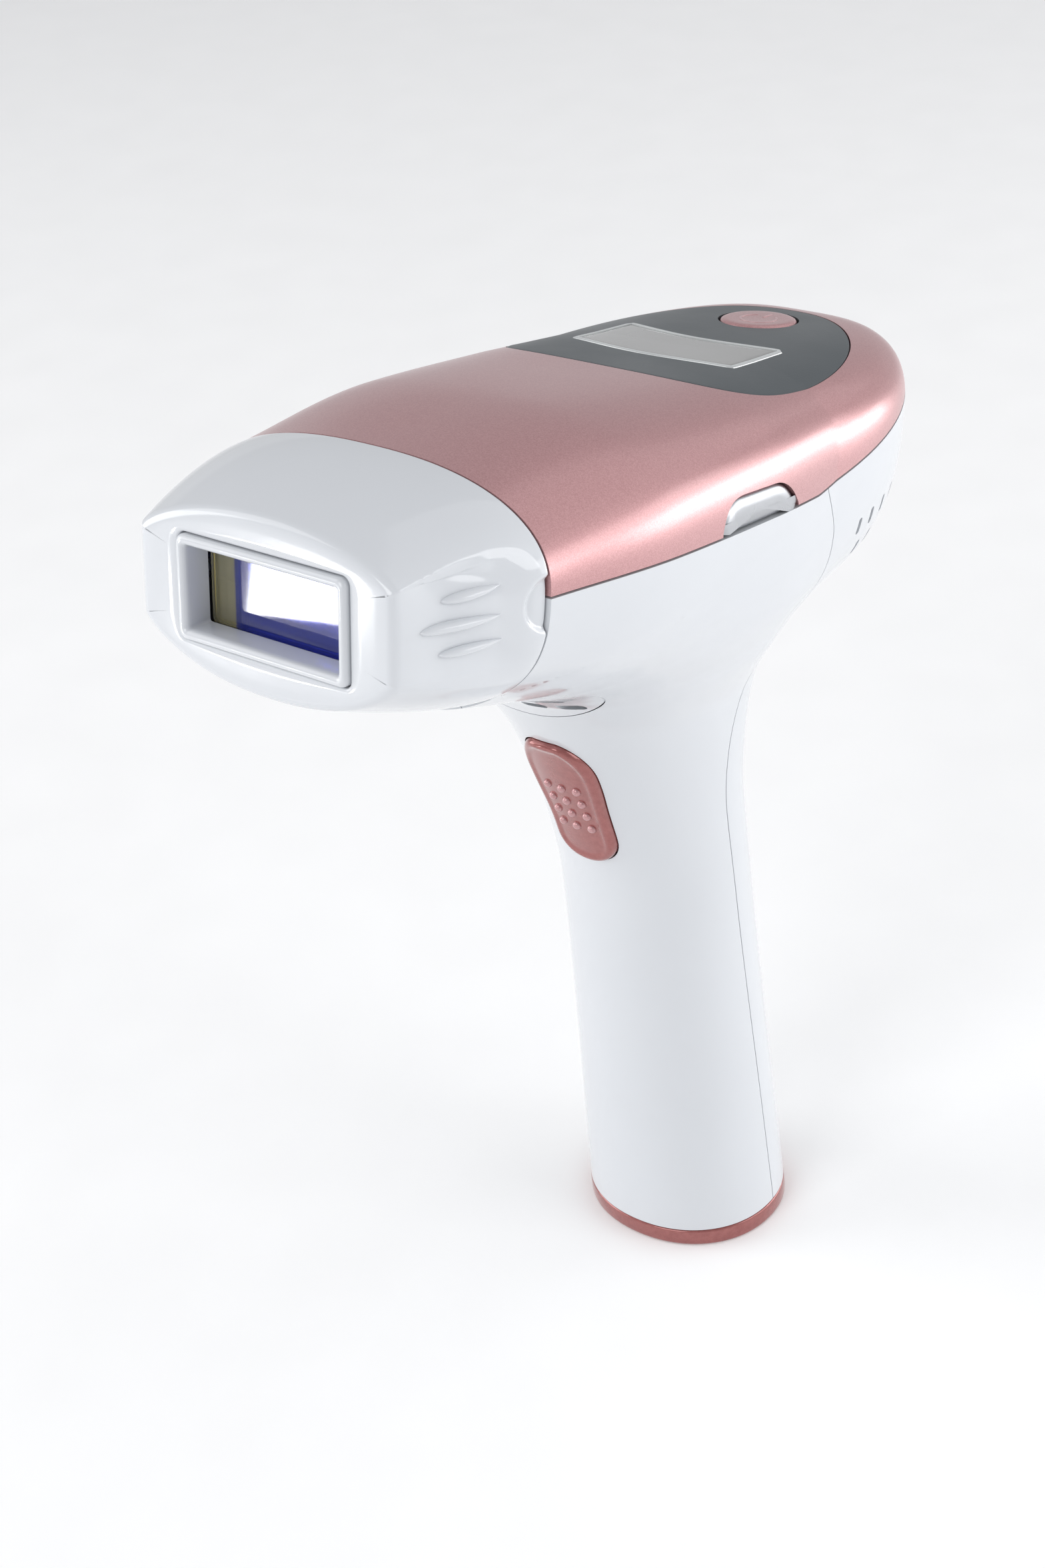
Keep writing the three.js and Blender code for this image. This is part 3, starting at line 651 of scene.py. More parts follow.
def rounded_path(knots, count):
    """Points along a Catmull-Rom curve through knots."""
    knots = np.asarray(knots, float)
    whole = np.linspace(0, len(knots) - 1, count)
    i = np.clip(whole.astype(int), 0, len(knots) - 2)
    t = (whole - i)[:, None]
    p0, p1 = knots[np.maximum(i - 1, 0)], knots[i]
    p2, p3 = knots[i + 1], knots[np.minimum(i + 2, len(knots) - 1)]
    v0, v1 = (p2 - p0) / 2, (p3 - p1) / 2
    return (2 * (p1 - p2) + v0 + v1) * t**3 + (3 * (p2 - p1) - 2 * v0 - v1) * t**2 + v0 * t + p1


SEAM_YZ = [
    (2, -12), (1.2, 40), (0, 80), (-0.8, 106), (2.6, 122),
    (9.6, 134), (13.8, 145), (14.2, 154), (12.6, 163),
]


def behind_seam(name, offset):
    path = rounded_path(SEAM_YZ, 70) + [offset, 0]
    rest = [(11 + offset, 215), (120, 215), (120, -12)]
    return across_grip(name, np.concatenate([path, rest]))


# %% The wall between the outside and the inside
wall = twin(outside, "wall")
combine(wall, inside, "DIFFERENCE")
ahead = [(BODY_FRONT, -200), (BODY_FRONT, 90), (220, 90), (220, -200)]
plane_cut = across_head("plane_cut", ahead)
combine(wall, plane_cut, "INTERSECT")
foot_cut = across_grip("foot_cut", [(-150, 3.9), (-150, 260), (150, 260), (150, 3.9)])
combine(wall, foot_cut, "INTERSECT")
print("wall:", len(wall.data.polygons), "faces")


# %% Outlines of the trigger and the grille
def bezier(start, a, b, end, count=14):
    t = np.linspace(0, 1, count, endpoint=False)[:, None]
    start, a, b, end = (np.array(p, float) for p in (start, a, b, end))
    return start * (1 - t) ** 3 + 3 * a * t * (1 - t) ** 2 + 3 * b * t**2 * (1 - t) + end * t**3


def evenly(points, count):
    """A closed outline's points, spread evenly along it."""
    points = np.asarray(points, float)
    closed = np.concatenate([points, points[:1]])
    run = np.concatenate([[0], np.cumsum(np.linalg.norm(np.diff(closed, axis=0), axis=1))])
    want = np.linspace(0, run[-1], count, endpoint=False)
    return np.column_stack([np.interp(want, run, closed[:, k]) for k in (0, 1)])


def inset(outline, distance):
    """A closed outline moved inwards; a negative distance moves it outwards."""
    along = np.roll(outline, -1, 0) - np.roll(outline, 1, 0)
    along /= np.linalg.norm(along, axis=1, keepdims=True)
    x, y = outline[:, 0], outline[:, 1]
    turns_left = (x * np.roll(y, -1) - np.roll(x, -1) * y).sum() > 0
    inward = np.column_stack([-along[:, 1], along[:, 0]]) * (1 if turns_left else -1)
    return outline + inward * distance


TRIGGER_TOP, TRIGGER_FOOT, TRIGGER_HALF = 7.6, 6.8, 15.8


def trigger_outline():
    top, foot, half = TRIGGER_TOP, TRIGGER_FOOT, TRIGGER_HALF
    right = [
        *bezier((0, -half), (3.5, -half), (foot, -half + 1.5), (foot, -half + 6)),
        *bezier((foot, -half + 6), (foot, 0), (top, 0), (top, half - 9)),
        *bezier((top, half - 9), (top, half - 4), (4.5, half), (2, half)),
        (0, half),
    ]
    left = [(-x, z) for x, z in right[-2:0:-1]]
    return evenly(right + left, 96)


SLOPE = np.radians(15)
TRIGGER_OUT = -np.array([0, np.cos(SLOPE), np.sin(SLOPE)])
TRIGGER_UP = np.array([0, -np.sin(SLOPE), np.cos(SLOPE)])
TRIGGER_PLACE = np.array([0, -22.8, 109.0])


def on_trigger(outline, out=0.0):
    """Outline across and up the trigger, moved out of the grip."""
    across, up = outline[:, :1] * np.array([1.0, 0, 0]), outline[:, 1:] * TRIGGER_UP
    return TRIGGER_PLACE + across + up + out * TRIGGER_OUT


hole_line = on_trigger(inset(trigger_outline(), -0.25), -14)
trigger_hole = prism("trigger_hole", hole_line, TRIGGER_OUT * 24)


def superellipse(x, y, half_x, half_y, roundness, count):
    a = np.linspace(0, 2 * np.pi, count, endpoint=False)
    c, s = signed_power(np.cos(a), 2 / roundness), signed_power(np.sin(a), 2 / roundness)
    return np.column_stack([x + half_x * c, y + half_y * s])


def grille_prism(name, margin):
    xz = superellipse(0, 148, 21.5 + margin, 15 + margin, 2.3, 96)
    return prism(name, upright(*xz.T, -22), (0, -60, 0))


print("trigger outline:", len(trigger_outline()), "points")

# %% [markdown]
# ## Slots with Geometry Nodes
# The grille under the lamp head and the vents behind it are rows of the same slot. One
# Geometry Nodes tree makes them all: a point for each slot carries how the slot is turned,
# and the tree puts a round-ended bar on every point. Its sizes are named inputs, so the
# grille and the vents share it. The bars are then cut out of the wall. The part that puts a
# shape on each point is written once, because the trigger's bumps need it too.


# %% A tree that puts a shape on every point
def scatter_tree(name, sizes, add_shape):
    """Sizes become named inputs, and add_shape gives the copies their shape."""
    tree = bpy.data.node_groups.new(name, "GeometryNodeTree")
    sockets = tree.interface
    sockets.new_socket("Geometry", in_out="INPUT", socket_type="NodeSocketGeometry")
    for label, value in sizes.items():
        socket = sockets.new_socket(label, in_out="INPUT", socket_type="NodeSocketFloat")
        socket.default_value = value
    sockets.new_socket("Finish", in_out="INPUT", socket_type="NodeSocketMaterial")
    sockets.new_socket("Geometry", in_out="OUTPUT", socket_type="NodeSocketGeometry")
    add, link = tree.nodes.new, tree.links.new
    entry, leave = add("NodeGroupInput"), add("NodeGroupOutput")
    turned_by = add("GeometryNodeInputNamedAttribute")
    turned_by.data_type = "FLOAT_VECTOR"
    turned_by.inputs["Name"].default_value = "turned"
    rotate = add("FunctionNodeEulerToRotation")
    link(turned_by.outputs["Attribute"], rotate.inputs[0])
    copies = add("GeometryNodeInstanceOnPoints")
    link(entry.outputs["Geometry"], copies.inputs["Points"])
    link(rotate.outputs[0], copies.inputs["Rotation"])
    add_shape(tree, entry.outputs, copies.inputs)
    real = add("GeometryNodeRealizeInstances")
    link(copies.outputs[0], real.inputs[0])
    painted = add("GeometryNodeSetMaterial")
    link(real.outputs[0], painted.inputs["Geometry"])
    link(entry.outputs["Finish"], painted.inputs["Material"])
    link(painted.outputs[0], leave.inputs[0])
    return tree


def add_bar(tree, sizes, copies):
    """A cylinder pulled apart down its middle, so that both ends stay round."""
    add, link = tree.nodes.new, tree.links.new
    rod = add("GeometryNodeMeshCylinder")
    rod.inputs["Vertices"].default_value = 20
    link(maths(tree, "MULTIPLY", sizes["Width"], 0.5), rod.inputs["Radius"])
    link(sizes["Depth"], rod.inputs["Depth"])
    split = add("ShaderNodeSeparateXYZ")
    link(add("GeometryNodeInputPosition").outputs[0], split.inputs[0])
    run = maths(tree, "SUBTRACT", sizes["Length"], sizes["Width"])
    side = maths(tree, "SIGN", split.outputs[0], 0)
    shift = add("ShaderNodeCombineXYZ")
    link(maths(tree, "MULTIPLY", side, maths(tree, "MULTIPLY", run, 0.5)), shift.inputs[0])
    stretch = add("GeometryNodeSetPosition")
    link(rod.outputs["Mesh"], stretch.inputs["Geometry"])
    link(shift.outputs[0], stretch.inputs["Offset"])
    link(stretch.outputs[0], copies["Instance"])


BARS = scatter_tree("round_ended_bars", {"Length": 0.005, "Width": 0.002, "Depth": 0.01}, add_bar)


def grown(name, tree, points, turns, **inputs):
    """Runs a tree on loose points and keeps the result as plain mesh."""
    mesh = bpy.data.meshes.new(name)
    mesh.from_pydata((np.asarray(points) * MM).tolist(), [], [])
    turned = mesh.attributes.new("turned", "FLOAT_VECTOR", "POINT")
    turned.data.foreach_set("vector", np.asarray(turns, np.float32).ravel())
    piece = bpy.data.objects.new(name, mesh)
    bpy.context.scene.collection.objects.link(piece)
    modifier = piece.modifiers.new("grow", "NODES")
    modifier.node_group = tree
    for item in tree.interface.items_tree:
        if item.in_out == "INPUT" and item.name in inputs:
            modifier[item.identifier] = inputs[item.name]
    return settle(piece)


def facing_turn(out, across):
    """Euler angles that turn Z to out and X to across."""
    out = Vector(out).normalized()
    across = (Vector(across) - Vector(across).dot(out) * out).normalized()
    up = out.cross(across)
    return tuple(Matrix((across, up, out)).transposed().to_euler())


# %% Where the slots go
def grille_slots():
    points, turns = [], []
    for row in range(3):
        for i in range(-2, 3):
            points.append((i * 6.4, -42, 137.8 + row * 4.2))
            turns.append(facing_turn((0, -1, 0), (1, 0, 0)))
    sizes = {"Length": 0.0046, "Width": 0.0019, "Depth": 0.05}
    return grown("grille_slots", BARS, points, turns, **sizes, Finish=WHITE)


# Each row's height and number of slots.
VENT_ROWS = [(150.5, 21), (144.5, 19), (138.5, 15), (132.5, 11)]
VENT_STEP = np.radians(5.4)


def vent_slots():
    """Upright slots in level rows, each square to the surface that it goes through."""
    starts, ways = [], []
    for height, count in VENT_ROWS:
        for i in range(count):
            angle = (i - (count - 1) / 2) * VENT_STEP
            way = np.array([np.sin(angle), np.cos(angle), 0])
            starts.append(way * 45 + [0, 0, height])
            ways.append(way)
    points = walk_to(np.array(starts), np.array(ways), 0)
    turns = [facing_turn(out, (0, 0, 1)) for out in slope_of(body_gap, points)]
    sizes = {"Length": 0.0036, "Width": 0.0013, "Depth": 0.012}
    return grown("vent_slots", BARS, points, turns, **sizes, Finish=WHITE)


grille_bars, vent_bars = grille_slots(), vent_slots()
print("slot cutters:", len(grille_bars.data.polygons), len(vent_bars.data.polygons), "faces")


# %% [markdown]
# ## Reflections that run across a cut
# After a cut, thin leftover triangles lie along the new edge, and averaged normals there
# would wrinkle the gloss. The field knows the true direction of the surface everywhere,
# so each corner that lies on the outside takes its normal from the field, and corners on
# cut walls keep their face's own.


# %% True normals on the outside
def true_normals(piece, level=0):
    mesh = piece.data
    points = points_of(piece)
    slope = slope_of(body_gap, points)
    slope /= np.maximum(np.linalg.norm(slope, axis=1, keepdims=True), 1e-9)
    on_skin = np.abs(body_gap(points) - level) < 0.12
    corner = np.empty(len(mesh.loops), int)
    mesh.loops.foreach_get("vertex_index", corner)
    flat = np.empty(len(mesh.polygons) * 3)
    mesh.polygons.foreach_get("normal", flat)
    flat = flat.reshape(-1, 3)
    total = np.empty(len(mesh.polygons), int)
    mesh.polygons.foreach_get("loop_total", total)
    face = np.repeat(flat, total, axis=0)
    smooth = on_skin[corner] & ((face * slope[corner]).sum(1) > 0.8)
    normals = np.where(smooth[:, None], slope[corner], face)
    mesh.shade_smooth()
    mesh.normals_split_custom_set(normals.tolist())


def finished(piece, body, slot, *nodes):
    """Declares a finished piece: the body it rides on and the solids it shows. The slot is not
    used.
    """
    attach(piece, body)
    if nodes:
        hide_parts(*nodes)
    print(piece.name, len(piece.data.polygons), "faces on", body)
    return piece


def dress(piece, material):
    piece.data.materials.clear()
    piece.data.materials.append(material)
    for polygon in piece.data.polygons:
        polygon.material_index = 0


# %% Front shell, rear shell and grille
lower = twin(wall, "lower")
belt_low = above_belt("belt_low", -0.2)
combine(lower, belt_low, "DIFFERENCE")
seam_front, seam_rear = behind_seam("seam_front", -0.1), behind_seam("seam_rear", 0.1)
front_part = twin(lower, "front_part")
combine(front_part, seam_front, "DIFFERENCE")
shell_rear = twin(lower, "shell_rear")
combine(shell_rear, seam_rear, "INTERSECT")
combine(shell_rear, vent_bars, "DIFFERENCE")
grille = twin(front_part, "grille_neck")
combine(grille, grille_prism("grille_fill", -0.1), "INTERSECT")
combine(grille, grille_bars, "DIFFERENCE")
shell_front = front_part
shell_front.name = "shell_front"
combine(shell_front, grille_prism("grille_gap", 0.1), "DIFFERENCE")
combine(shell_front, trigger_hole, "DIFFERENCE")


SEAM_HALF_WIDTH = 36


def bulkhead():
    """The plate behind the lamp cartridge, with the mouth of its socket."""
    middle = head_section(SEAM_Y)[0]
    outline = head_point(turn, SEAM_Y)

    def plate(drawn):
        share = 1 - drawn / SEAM_HALF_WIDTH
        shape = outline * [share, 1, share] + [0, 0.15, middle * (1 - share)]
        return prism("plate", to_part(shape), AFT * 2)

    # The wider plate closes the shell below the cover, and the narrower one runs up inside it.
    wide = combine(plate(1.2), belt_low, "DIFFERENCE")
    combine(wide, plate(2.4), "UNION")
    mouth = across_head("mouth", [(20, -6.3), (20, 6.3), (30, 6.3), (30, -6.3)], -14.3, 28.6)
    return combine(wide, mouth, "DIFFERENCE")


combine(shell_front, bulkhead(), "UNION")
shells = {"front_shell": shell_front, "rear_shell": shell_rear, "neck_grille": grille}
for node, piece in shells.items():
    dress(piece, WHITE)
    true_normals(piece)
    finished(piece, "body", "white_shell", node)

# %% [markdown]
# ## Pieces that lie on the surface
# The control panel, the display, the side trims and the trigger all follow the body's
# surface, with a soft edge all round. One helper makes them: the outline is stepped
# inwards ring by ring, and each ring slides along the fitting direction until the field
# reads the level asked for. The first levels make the rounded edge.


# %% A pad on the body's surface
SHRINK = (0.93, 0.85, 0.75, 0.64, 0.52, 0.4, 0.28, 0.16, 0.05)


def pad(name, outline, place, out, profile, depth):
    """profile is pairs of distance from the edge and level above the body, in mm."""
    rings = [walk_to(place(inset(outline, edge)), out, level) for edge, level in profile]
    last, level = inset(outline, profile[-1][0]), profile[-1][1]
    middle = last.mean(0)
    for share in SHRINK:
        rings.append(walk_to(place(middle + (last - middle) * share), out, level))
    piece = loft(name, [rings[0] - out * depth, *rings])
    piece.data.shade_smooth()
    return piece


def crease(piece, degrees):
    """Smooth shading except across edges sharper than an angle."""
    piece.data.shade_smooth()
    made = bmesh.new()
    made.from_mesh(piece.data)
    limit = np.radians(degrees)
    for edge in made.edges:
        edge.smooth = bool(len(edge.link_faces) == 2 and edge.calc_face_angle(0) < limit)
    made.to_mesh(piece.data)
    made.free()
    return piece


def on_top(outline):
    return to_part(np.column_stack([outline, np.full(len(outline), 22.0)]))


# %% [markdown]
# ## Control panel and display
# The panel is a dark satin plate let into the top, squarish in front and round behind. The
# display is an arched band on it, with a pale line round it and a smoked lens inside.


# %% Outlines of the panel and the display
def panel_outline():
    a = np.linspace(0, 2 * np.pi, 240, endpoint=False)
    c, s = np.cos(a), np.sin(a)
    power = 2 / np.where(s > 0, 1.95, 3.2)
    x = 28.6 * signed_power(c, power)
    y = 104 + np.where(s > 0, 40, 21.4) * signed_power(s, power)
    return evenly(np.column_stack([x, y]), 200)


def display_outline():
    half, front, rear, bow = 16.7, 99, 114.2, 3.4
    narrow, front_bow, rear_bow = half - 0.4, front - 1.33 * bow, rear - 1.33 * bow
    edge = [
        *bezier((-half, front), (-half / 3, front_bow), (half / 3, front_bow), (half, front)),
        *np.linspace((half, front), (narrow, rear), 8, endpoint=False),
        *bezier((narrow, rear), (half / 3, rear_bow), (-half / 3, rear_bow), (-narrow, rear)),
        *np.linspace((-narrow, rear), (-half, front), 8, endpoint=False),
    ]
    return evenly(edge, 160)


PANEL_LINE, DISPLAY_LINE = panel_outline(), display_outline()
BUTTON_Y, BUTTON_RADIUS = 132, 7.2


def disc_outline(radius, count=96):
    a = np.linspace(0, 2 * np.pi, count, endpoint=False)
    return np.column_stack([radius * np.cos(a), BUTTON_Y + radius * np.sin(a)])


# %% Panel, display line and lens
PANEL_EDGE = [(0, -0.45), (0.06, -0.2), (0.2, -0.06), (0.6, 0)]
panel = pad("panel_satin", PANEL_LINE, on_top, UP, PANEL_EDGE, 1.6)
combine(panel, above_head("display_well", inset(DISPLAY_LINE, -1.15)), "DIFFERENCE")
combine(panel, above_head("button_well", disc_outline(BUTTON_RADIUS + 0.35)), "DIFFERENCE")
dress(panel, SLATE)
true_normals(panel)
finished(panel, "body", "slate_panel", "control_panel")

LINE_HEIGHT = 0.18
LINE_EDGE = [(0, -0.15), (0.1, 0.1), (0.3, LINE_HEIGHT), (0.6, LINE_HEIGHT)]
display_line = pad("display_line", inset(DISPLAY_LINE, -1.1), on_top, UP, LINE_EDGE, 1.4)
combine(display_line, above_head("lens_well", inset(DISPLAY_LINE, -0.1)), "DIFFERENCE")
dress(display_line, SILVER_LINE)
true_normals(display_line, LINE_HEIGHT)
finished(display_line, "body", "silver_trim", "lcd_trim")

LENS_EDGE = [(0, -0.35), (0.08, -0.1), (0.3, 0), (0.8, 0.02)]
lens = pad("display_lens", DISPLAY_LINE, on_top, UP, LENS_EDGE, 1.2)
dress(lens, LCD)
crease(lens, 50)
finished(lens, "body", "display_lens", "lcd_lens")

# %% [markdown]
# ## Top cover and side trims
# The cover is pearl rose lacquer. It is the same wall as the shells, cut above the belt
# line, with an opening for the panel and a notch on each side for a satin chrome key.


# %% Cover and trims
def trim_outline():
    front, rear, top, low = 66.9, 90.6, 9.3, 3.65
    edge = [*bezier((front, low), (front + 0.6, top - 1.5), (front + 2.6, top), (front + 6, top))]
    edge += [*np.linspace((front + 6, top), (rear - 8, top - 0.3), 12, endpoint=False)]
    falls = (rear - 8, top - 0.3), (rear - 4, top - 0.4), (rear - 1.6, top - 3), (rear, low)
    edge += [*bezier(*falls)]
    edge += [*np.linspace((rear, low), (front, low), 20, endpoint=False)]
    return evenly(edge, 140)


TRIM_LINE = trim_outline()
cover = twin(wall, "cover_rose")
combine(cover, above_belt("belt_high", 0.2), "INTERSECT")
combine(cover, above_head("panel_well", inset(PANEL_LINE, -0.15)), "DIFFERENCE")
notch = inset(TRIM_LINE, -0.2)
notch[notch[:, 1] < 3.6, 1] = 0
for side, start in (("left", 20), ("right", -60)):
    combine(cover, across_head("notch_" + side, notch, start, 40), "DIFFERENCE")
dress(cover, ROSE)
true_normals(cover)
finished(cover, "body", "rose_paint", "top_cover")

for side, sign in (("left", 1), ("right", -1)):

    def beside(outline, sign=sign):
        return to_part(np.column_stack([np.full(len(outline), sign * 38.0), outline]))

    trim = pad(
        "side_key_" + side, TRIM_LINE, beside, np.array([sign, 0.0, 0.0]),
        [(0, -1.2), (0.12, -0.75), (0.5, -0.45), (1.2, -0.25), (2.0, -0.2)], 0.8,
    )
    dress(trim, CHROME)
    crease(trim, 60)
    finished(trim, "body", "silver_trim", "side_trim_" + side)


# %% [markdown]
# ## Power button
# The button is a turned disc: a profile of radii and heights is swept round its axis. Its
# rim is rounded, so a thin light line runs round it. Its mark is a plain ring and bar.


# %% Turned pieces
def turned(name, profile, place, count=64):
    """Rings about the head's vertical axis at a place, from pairs of radius and height."""
    a = np.linspace(0, 2 * np.pi, count, endpoint=False)
    c, s, flat = np.cos(a), np.sin(a), np.ones(count)
    rings = [np.column_stack([r * c, r * s, z * flat]) for r, z in profile]
    piece = loft(name, to_part(np.array(rings) + place))
    return crease(piece, 45)


BUTTON_TOP = 23.3
button = turned(
    "power_key",
    [(1.6, -4.4), (1.6, -2.4), (7.2, -2.4), (7.2, -0.9), (7.12, -0.55), (6.9, -0.25), (6.5, -0.07),
     (5.9, 0), (4, -0.06), (2, -0.12), (0.2, -0.14)],
    (0, BUTTON_Y, BUTTON_TOP),
)
dress(button, ROSE)
finished(button, "power_key", "rose_gloss", "power_button")


def power_mark():
    """An open ring and a bar, standing a hair above the button."""
    a = np.radians(np.linspace(125, 415, 40))
    radius, half, low, high = 3.4, 0.22, -0.25, -0.02
    inner, outer = radius - half, radius + half
    section = ((inner, low), (outer, low), (outer, high), (inner, high))
    rings = [[(r * np.cos(t), r * np.sin(t), z) for r, z in section] for t in a]
    ring = loft("power_mark", to_part(np.array(rings) + [0, BUTTON_Y, BUTTON_TOP]))
    bar = [(-half, 1.6), (half, 1.6), (half, 4.4), (-half, 4.4)]
    lower_face = to_part(np.array([(x, y, low) for x, y in bar]) + [0, BUTTON_Y, BUTTON_TOP])
    combine(ring, prism("power_bar", lower_face, UP * (high - low)), "UNION")
    return ring


mark = power_mark()
dress(mark, MARK)
crease(mark, 40)
finished(mark, "power_key", "rose_gloss")


# %% [markdown]
# ## Trigger
# The trigger has a raised rim round a slightly sunken face, and twelve bumps for the
# finger. The rim comes from the pad's levels, which rise and fall again towards the
# middle. The bumps repeat, so a second small tree puts a dome on each point.


# %% Trigger face
RIM = [
    (0, -0.3), (0.02, 0.1), (0.15, 0.55), (0.4, 0.9), (0.8, 1.12),
    (1.2, 1.15), (1.6, 1.0), (2.0, 0.84), (2.4, 0.8),
]
trigger = pad("trigger_face", trigger_outline(), on_trigger, TRIGGER_OUT, RIM, 4.5)
dress(trigger, ROSE_GLOSS)
crease(trigger, 60)
finished(trigger, "trigger", "rose_gloss", "trigger_button")


# %% A tree of domes
def add_dome(tree, sizes, copies):
    """A ball of radius 1, scaled to the radius across and the height outwards."""
    add, link = tree.nodes.new, tree.links.new
    ball = add("GeometryNodeMeshUVSphere")
    for label, value in (("Segments", 20), ("Rings", 12), ("Radius", 1.0)):
        ball.inputs[label].default_value = value
    size = add("ShaderNodeCombineXYZ")
    for socket, label in zip(size.inputs, ("Radius", "Radius", "Height")):
        link(sizes[label], socket)
    smooth = add("GeometryNodeSetShadeSmooth")
    link(ball.outputs["Mesh"], smooth.inputs["Geometry"])
    link(smooth.outputs[0], copies["Instance"])
    link(size.outputs[0], copies["Scale"])


DOMES = scatter_tree("domes", {"Radius": 0.0009, "Height": 0.0006}, add_dome)
BUMP_STEP = (3.3, 3.4)
bump_grid = np.array([(column, 1.1 - row) for row in range(4) for column in (-1, 0, 1)]) * BUMP_STEP
bump_places = walk_to(on_trigger(bump_grid), TRIGGER_OUT, 0.78)
bump_turns = [facing_turn(out, (1, 0, 0)) for out in slope_of(body_gap, bump_places)]
# The bumps take the lighter rose pearl rather than the trigger's darker gloss: a painted highlight,
# so that they read as lit dots.
bumps = grown(
    "trigger_bumps", DOMES, bump_places, bump_turns, Radius=0.0009, Height=0.00075, Finish=ROSE
)
finished(bumps, "trigger", "rose_gloss")

# %% [markdown]
# ## Lamp cartridge
# The cartridge starts from a flat face with arched top and bottom, and swells into the
# head's section at the seam. Each ring blends the two outlines. Both sides have a hollow
# for finger and thumb, with a firm upper and lower edge, and a scoop at the rear edge. The
# hollow is written as a depth that the surface is pushed in by.


# %% The cartridge's surface
CORNER = np.radians(22.5)
FACE_Y = 0.4


def face_point(angle):
    """Outline of the flat face: upright sides between arcs."""
    c, s = np.cos(angle), np.sin(angle)
    u = np.clip(c / np.cos(CORNER), -1, 1)
    side = np.minimum(1, np.abs(s) / np.sin(CORNER))
    arch = np.where(np.abs(s) < np.sin(CORNER) + 1e-9, 0, (1 - np.abs(u) ** 2.2).clip(0) ** 0.75)
    z = np.where(s > 0, 8 * side + 6.2 * arch, -6.4 * side - 8.2 * arch)
    return 26.6 * u, z


def plain_side(angle, y):
    """Point on the cartridge before its hollows."""
    share = np.clip((y - FACE_Y) / (SEAM_Y - FACE_Y), 0, 1)
    blend = 1 - (1 - share) ** 1.5
    fx, fz = face_point(angle)
    seam = head_point(angle, SEAM_Y)
    x = fx * (1 - blend) + seam[..., 0] * blend
    z = fz * (1 - blend) + seam[..., 2] * blend
    return np.stack(np.broadcast_arrays(x, y, z), -1)


hollow_top = smooth_through(
    [0.4, 4, 7.4, 10.9, 14.2, 17.4, 20.5, 24.9], [8, 9.2, 10.2, 11.2, 11.8, 12.2, 12.0, 10.2]
)
hollow_wall = smooth_through(
    [0.4, 4, 8, 10.4, 12.7, 15.5, 18.3, 24.9], [7.9, 8.7, 9.5, 9.6, 9.2, 8.0, 6.2, 3]
)
hollow_foot = smooth_through([0.4, 2.5, 6.4, 11, 15.8, 24.9], [-6.4, -7.2, -8, -8.8, -9.5, -11])
HOLLOW_DEPTH, SCOOP_DEPTH = 1.5, 0.9


def side_depth(y, z):
    """How far the finger hollow and the scoop push the side in."""
    top, foot = hollow_top(y), hollow_foot(y)
    wall_share = np.clip((top - z) / np.maximum(top - hollow_wall(y), 0.3), 0, 1)
    foot_share = np.clip((z - foot) / 6, 0, 1)
    along = ease(0.4, 9, y) * (1 - ease(16, 24.5, y))
    depth = HOLLOW_DEPTH * along * (1 - (1 - wall_share) ** 2) * (1 - (1 - foot_share) ** 2)
    away = np.hypot((y - 25.2) / 5, (z - 2.6) / 4.9)
    return depth + SCOOP_DEPTH * ease(0, 0.22, 1 - away)


def side_point(angle, y):
    """Point on the cartridge with its hollows, in the head frame."""
    angle, y = np.broadcast_arrays(np.asarray(angle, float), np.asarray(y, float))
    h = 1e-3
    here = plain_side(angle, y)
    along = plain_side(angle, y + h) - plain_side(angle, y - h)
    around = plain_side(angle + h, y) - plain_side(angle - h, y)
    normal = np.cross(along, around)
    normal /= np.maximum(np.linalg.norm(normal, axis=-1, keepdims=True), 1e-9)
    outwards = np.sign((normal * here * [1, 0, 1]).sum(-1, keepdims=True))
    depth = side_depth(here[..., 1], here[..., 2]) * (np.abs(here[..., 0]) > 15)
    return here - normal * outwards * depth[..., None]


def rounded_rectangle(width, height, radius, count=12):
    """Points round a rectangle with arcs at its corners, from the right side's foot."""
    points = []
    for cx, cz, start in ((1, 1, 0), (-1, 1, 90), (-1, -1, 180), (1, -1, 270)):
        a = np.radians(np.linspace(start, start + 90, count))
        middle = (cx * (width / 2 - radius), cz * (height / 2 - radius))
        points += [(middle[0] + radius * np.cos(t), middle[1] + radius * np.sin(t)) for t in a]
    return np.array(points)


# %% The cartridge as one closed loft
FRAME_WIDTH, FRAME_HEIGHT, FRAME_CORNER = 36, 17.3, 1.6
fine_turn = np.linspace(0, 2 * np.pi, 416, endpoint=False)


def hole_at(angles, margin):
    """The window's hole, cut where rays at the given angles meet it."""
    width, height = FRAME_WIDTH + 2 * margin, FRAME_HEIGHT + 2 * margin
    edge = evenly(rounded_rectangle(width, height, FRAME_CORNER), 900)
    bearing = np.arctan2(edge[:, 1], edge[:, 0])
    order = np.argsort(bearing)
    distance = np.interp(angles, bearing[order], np.hypot(*edge[order].T), period=2 * np.pi)
    return distance * np.cos(angles), distance * np.sin(angles)


# Margin round the frame and place along the head, from the hole's inner end to the face.
HOLE_WALL = ((0.2, 3.4), (0.2, 0.75), (0.3, 0.5), (0.55, FACE_Y))
FACE_EDGE = 1.3
SECTION_RADIUS = 24


def drawn_in(shape, drawn, y):
    """An outline shrunk about the head's middle by roughly so many millimetres, at one y."""
    middle, share = head_section(SEAM_Y)[0], 1 - drawn / SECTION_RADIUS
    return upright(shape[:, 0] * share, middle + (shape[:, 2] - middle) * share, y)


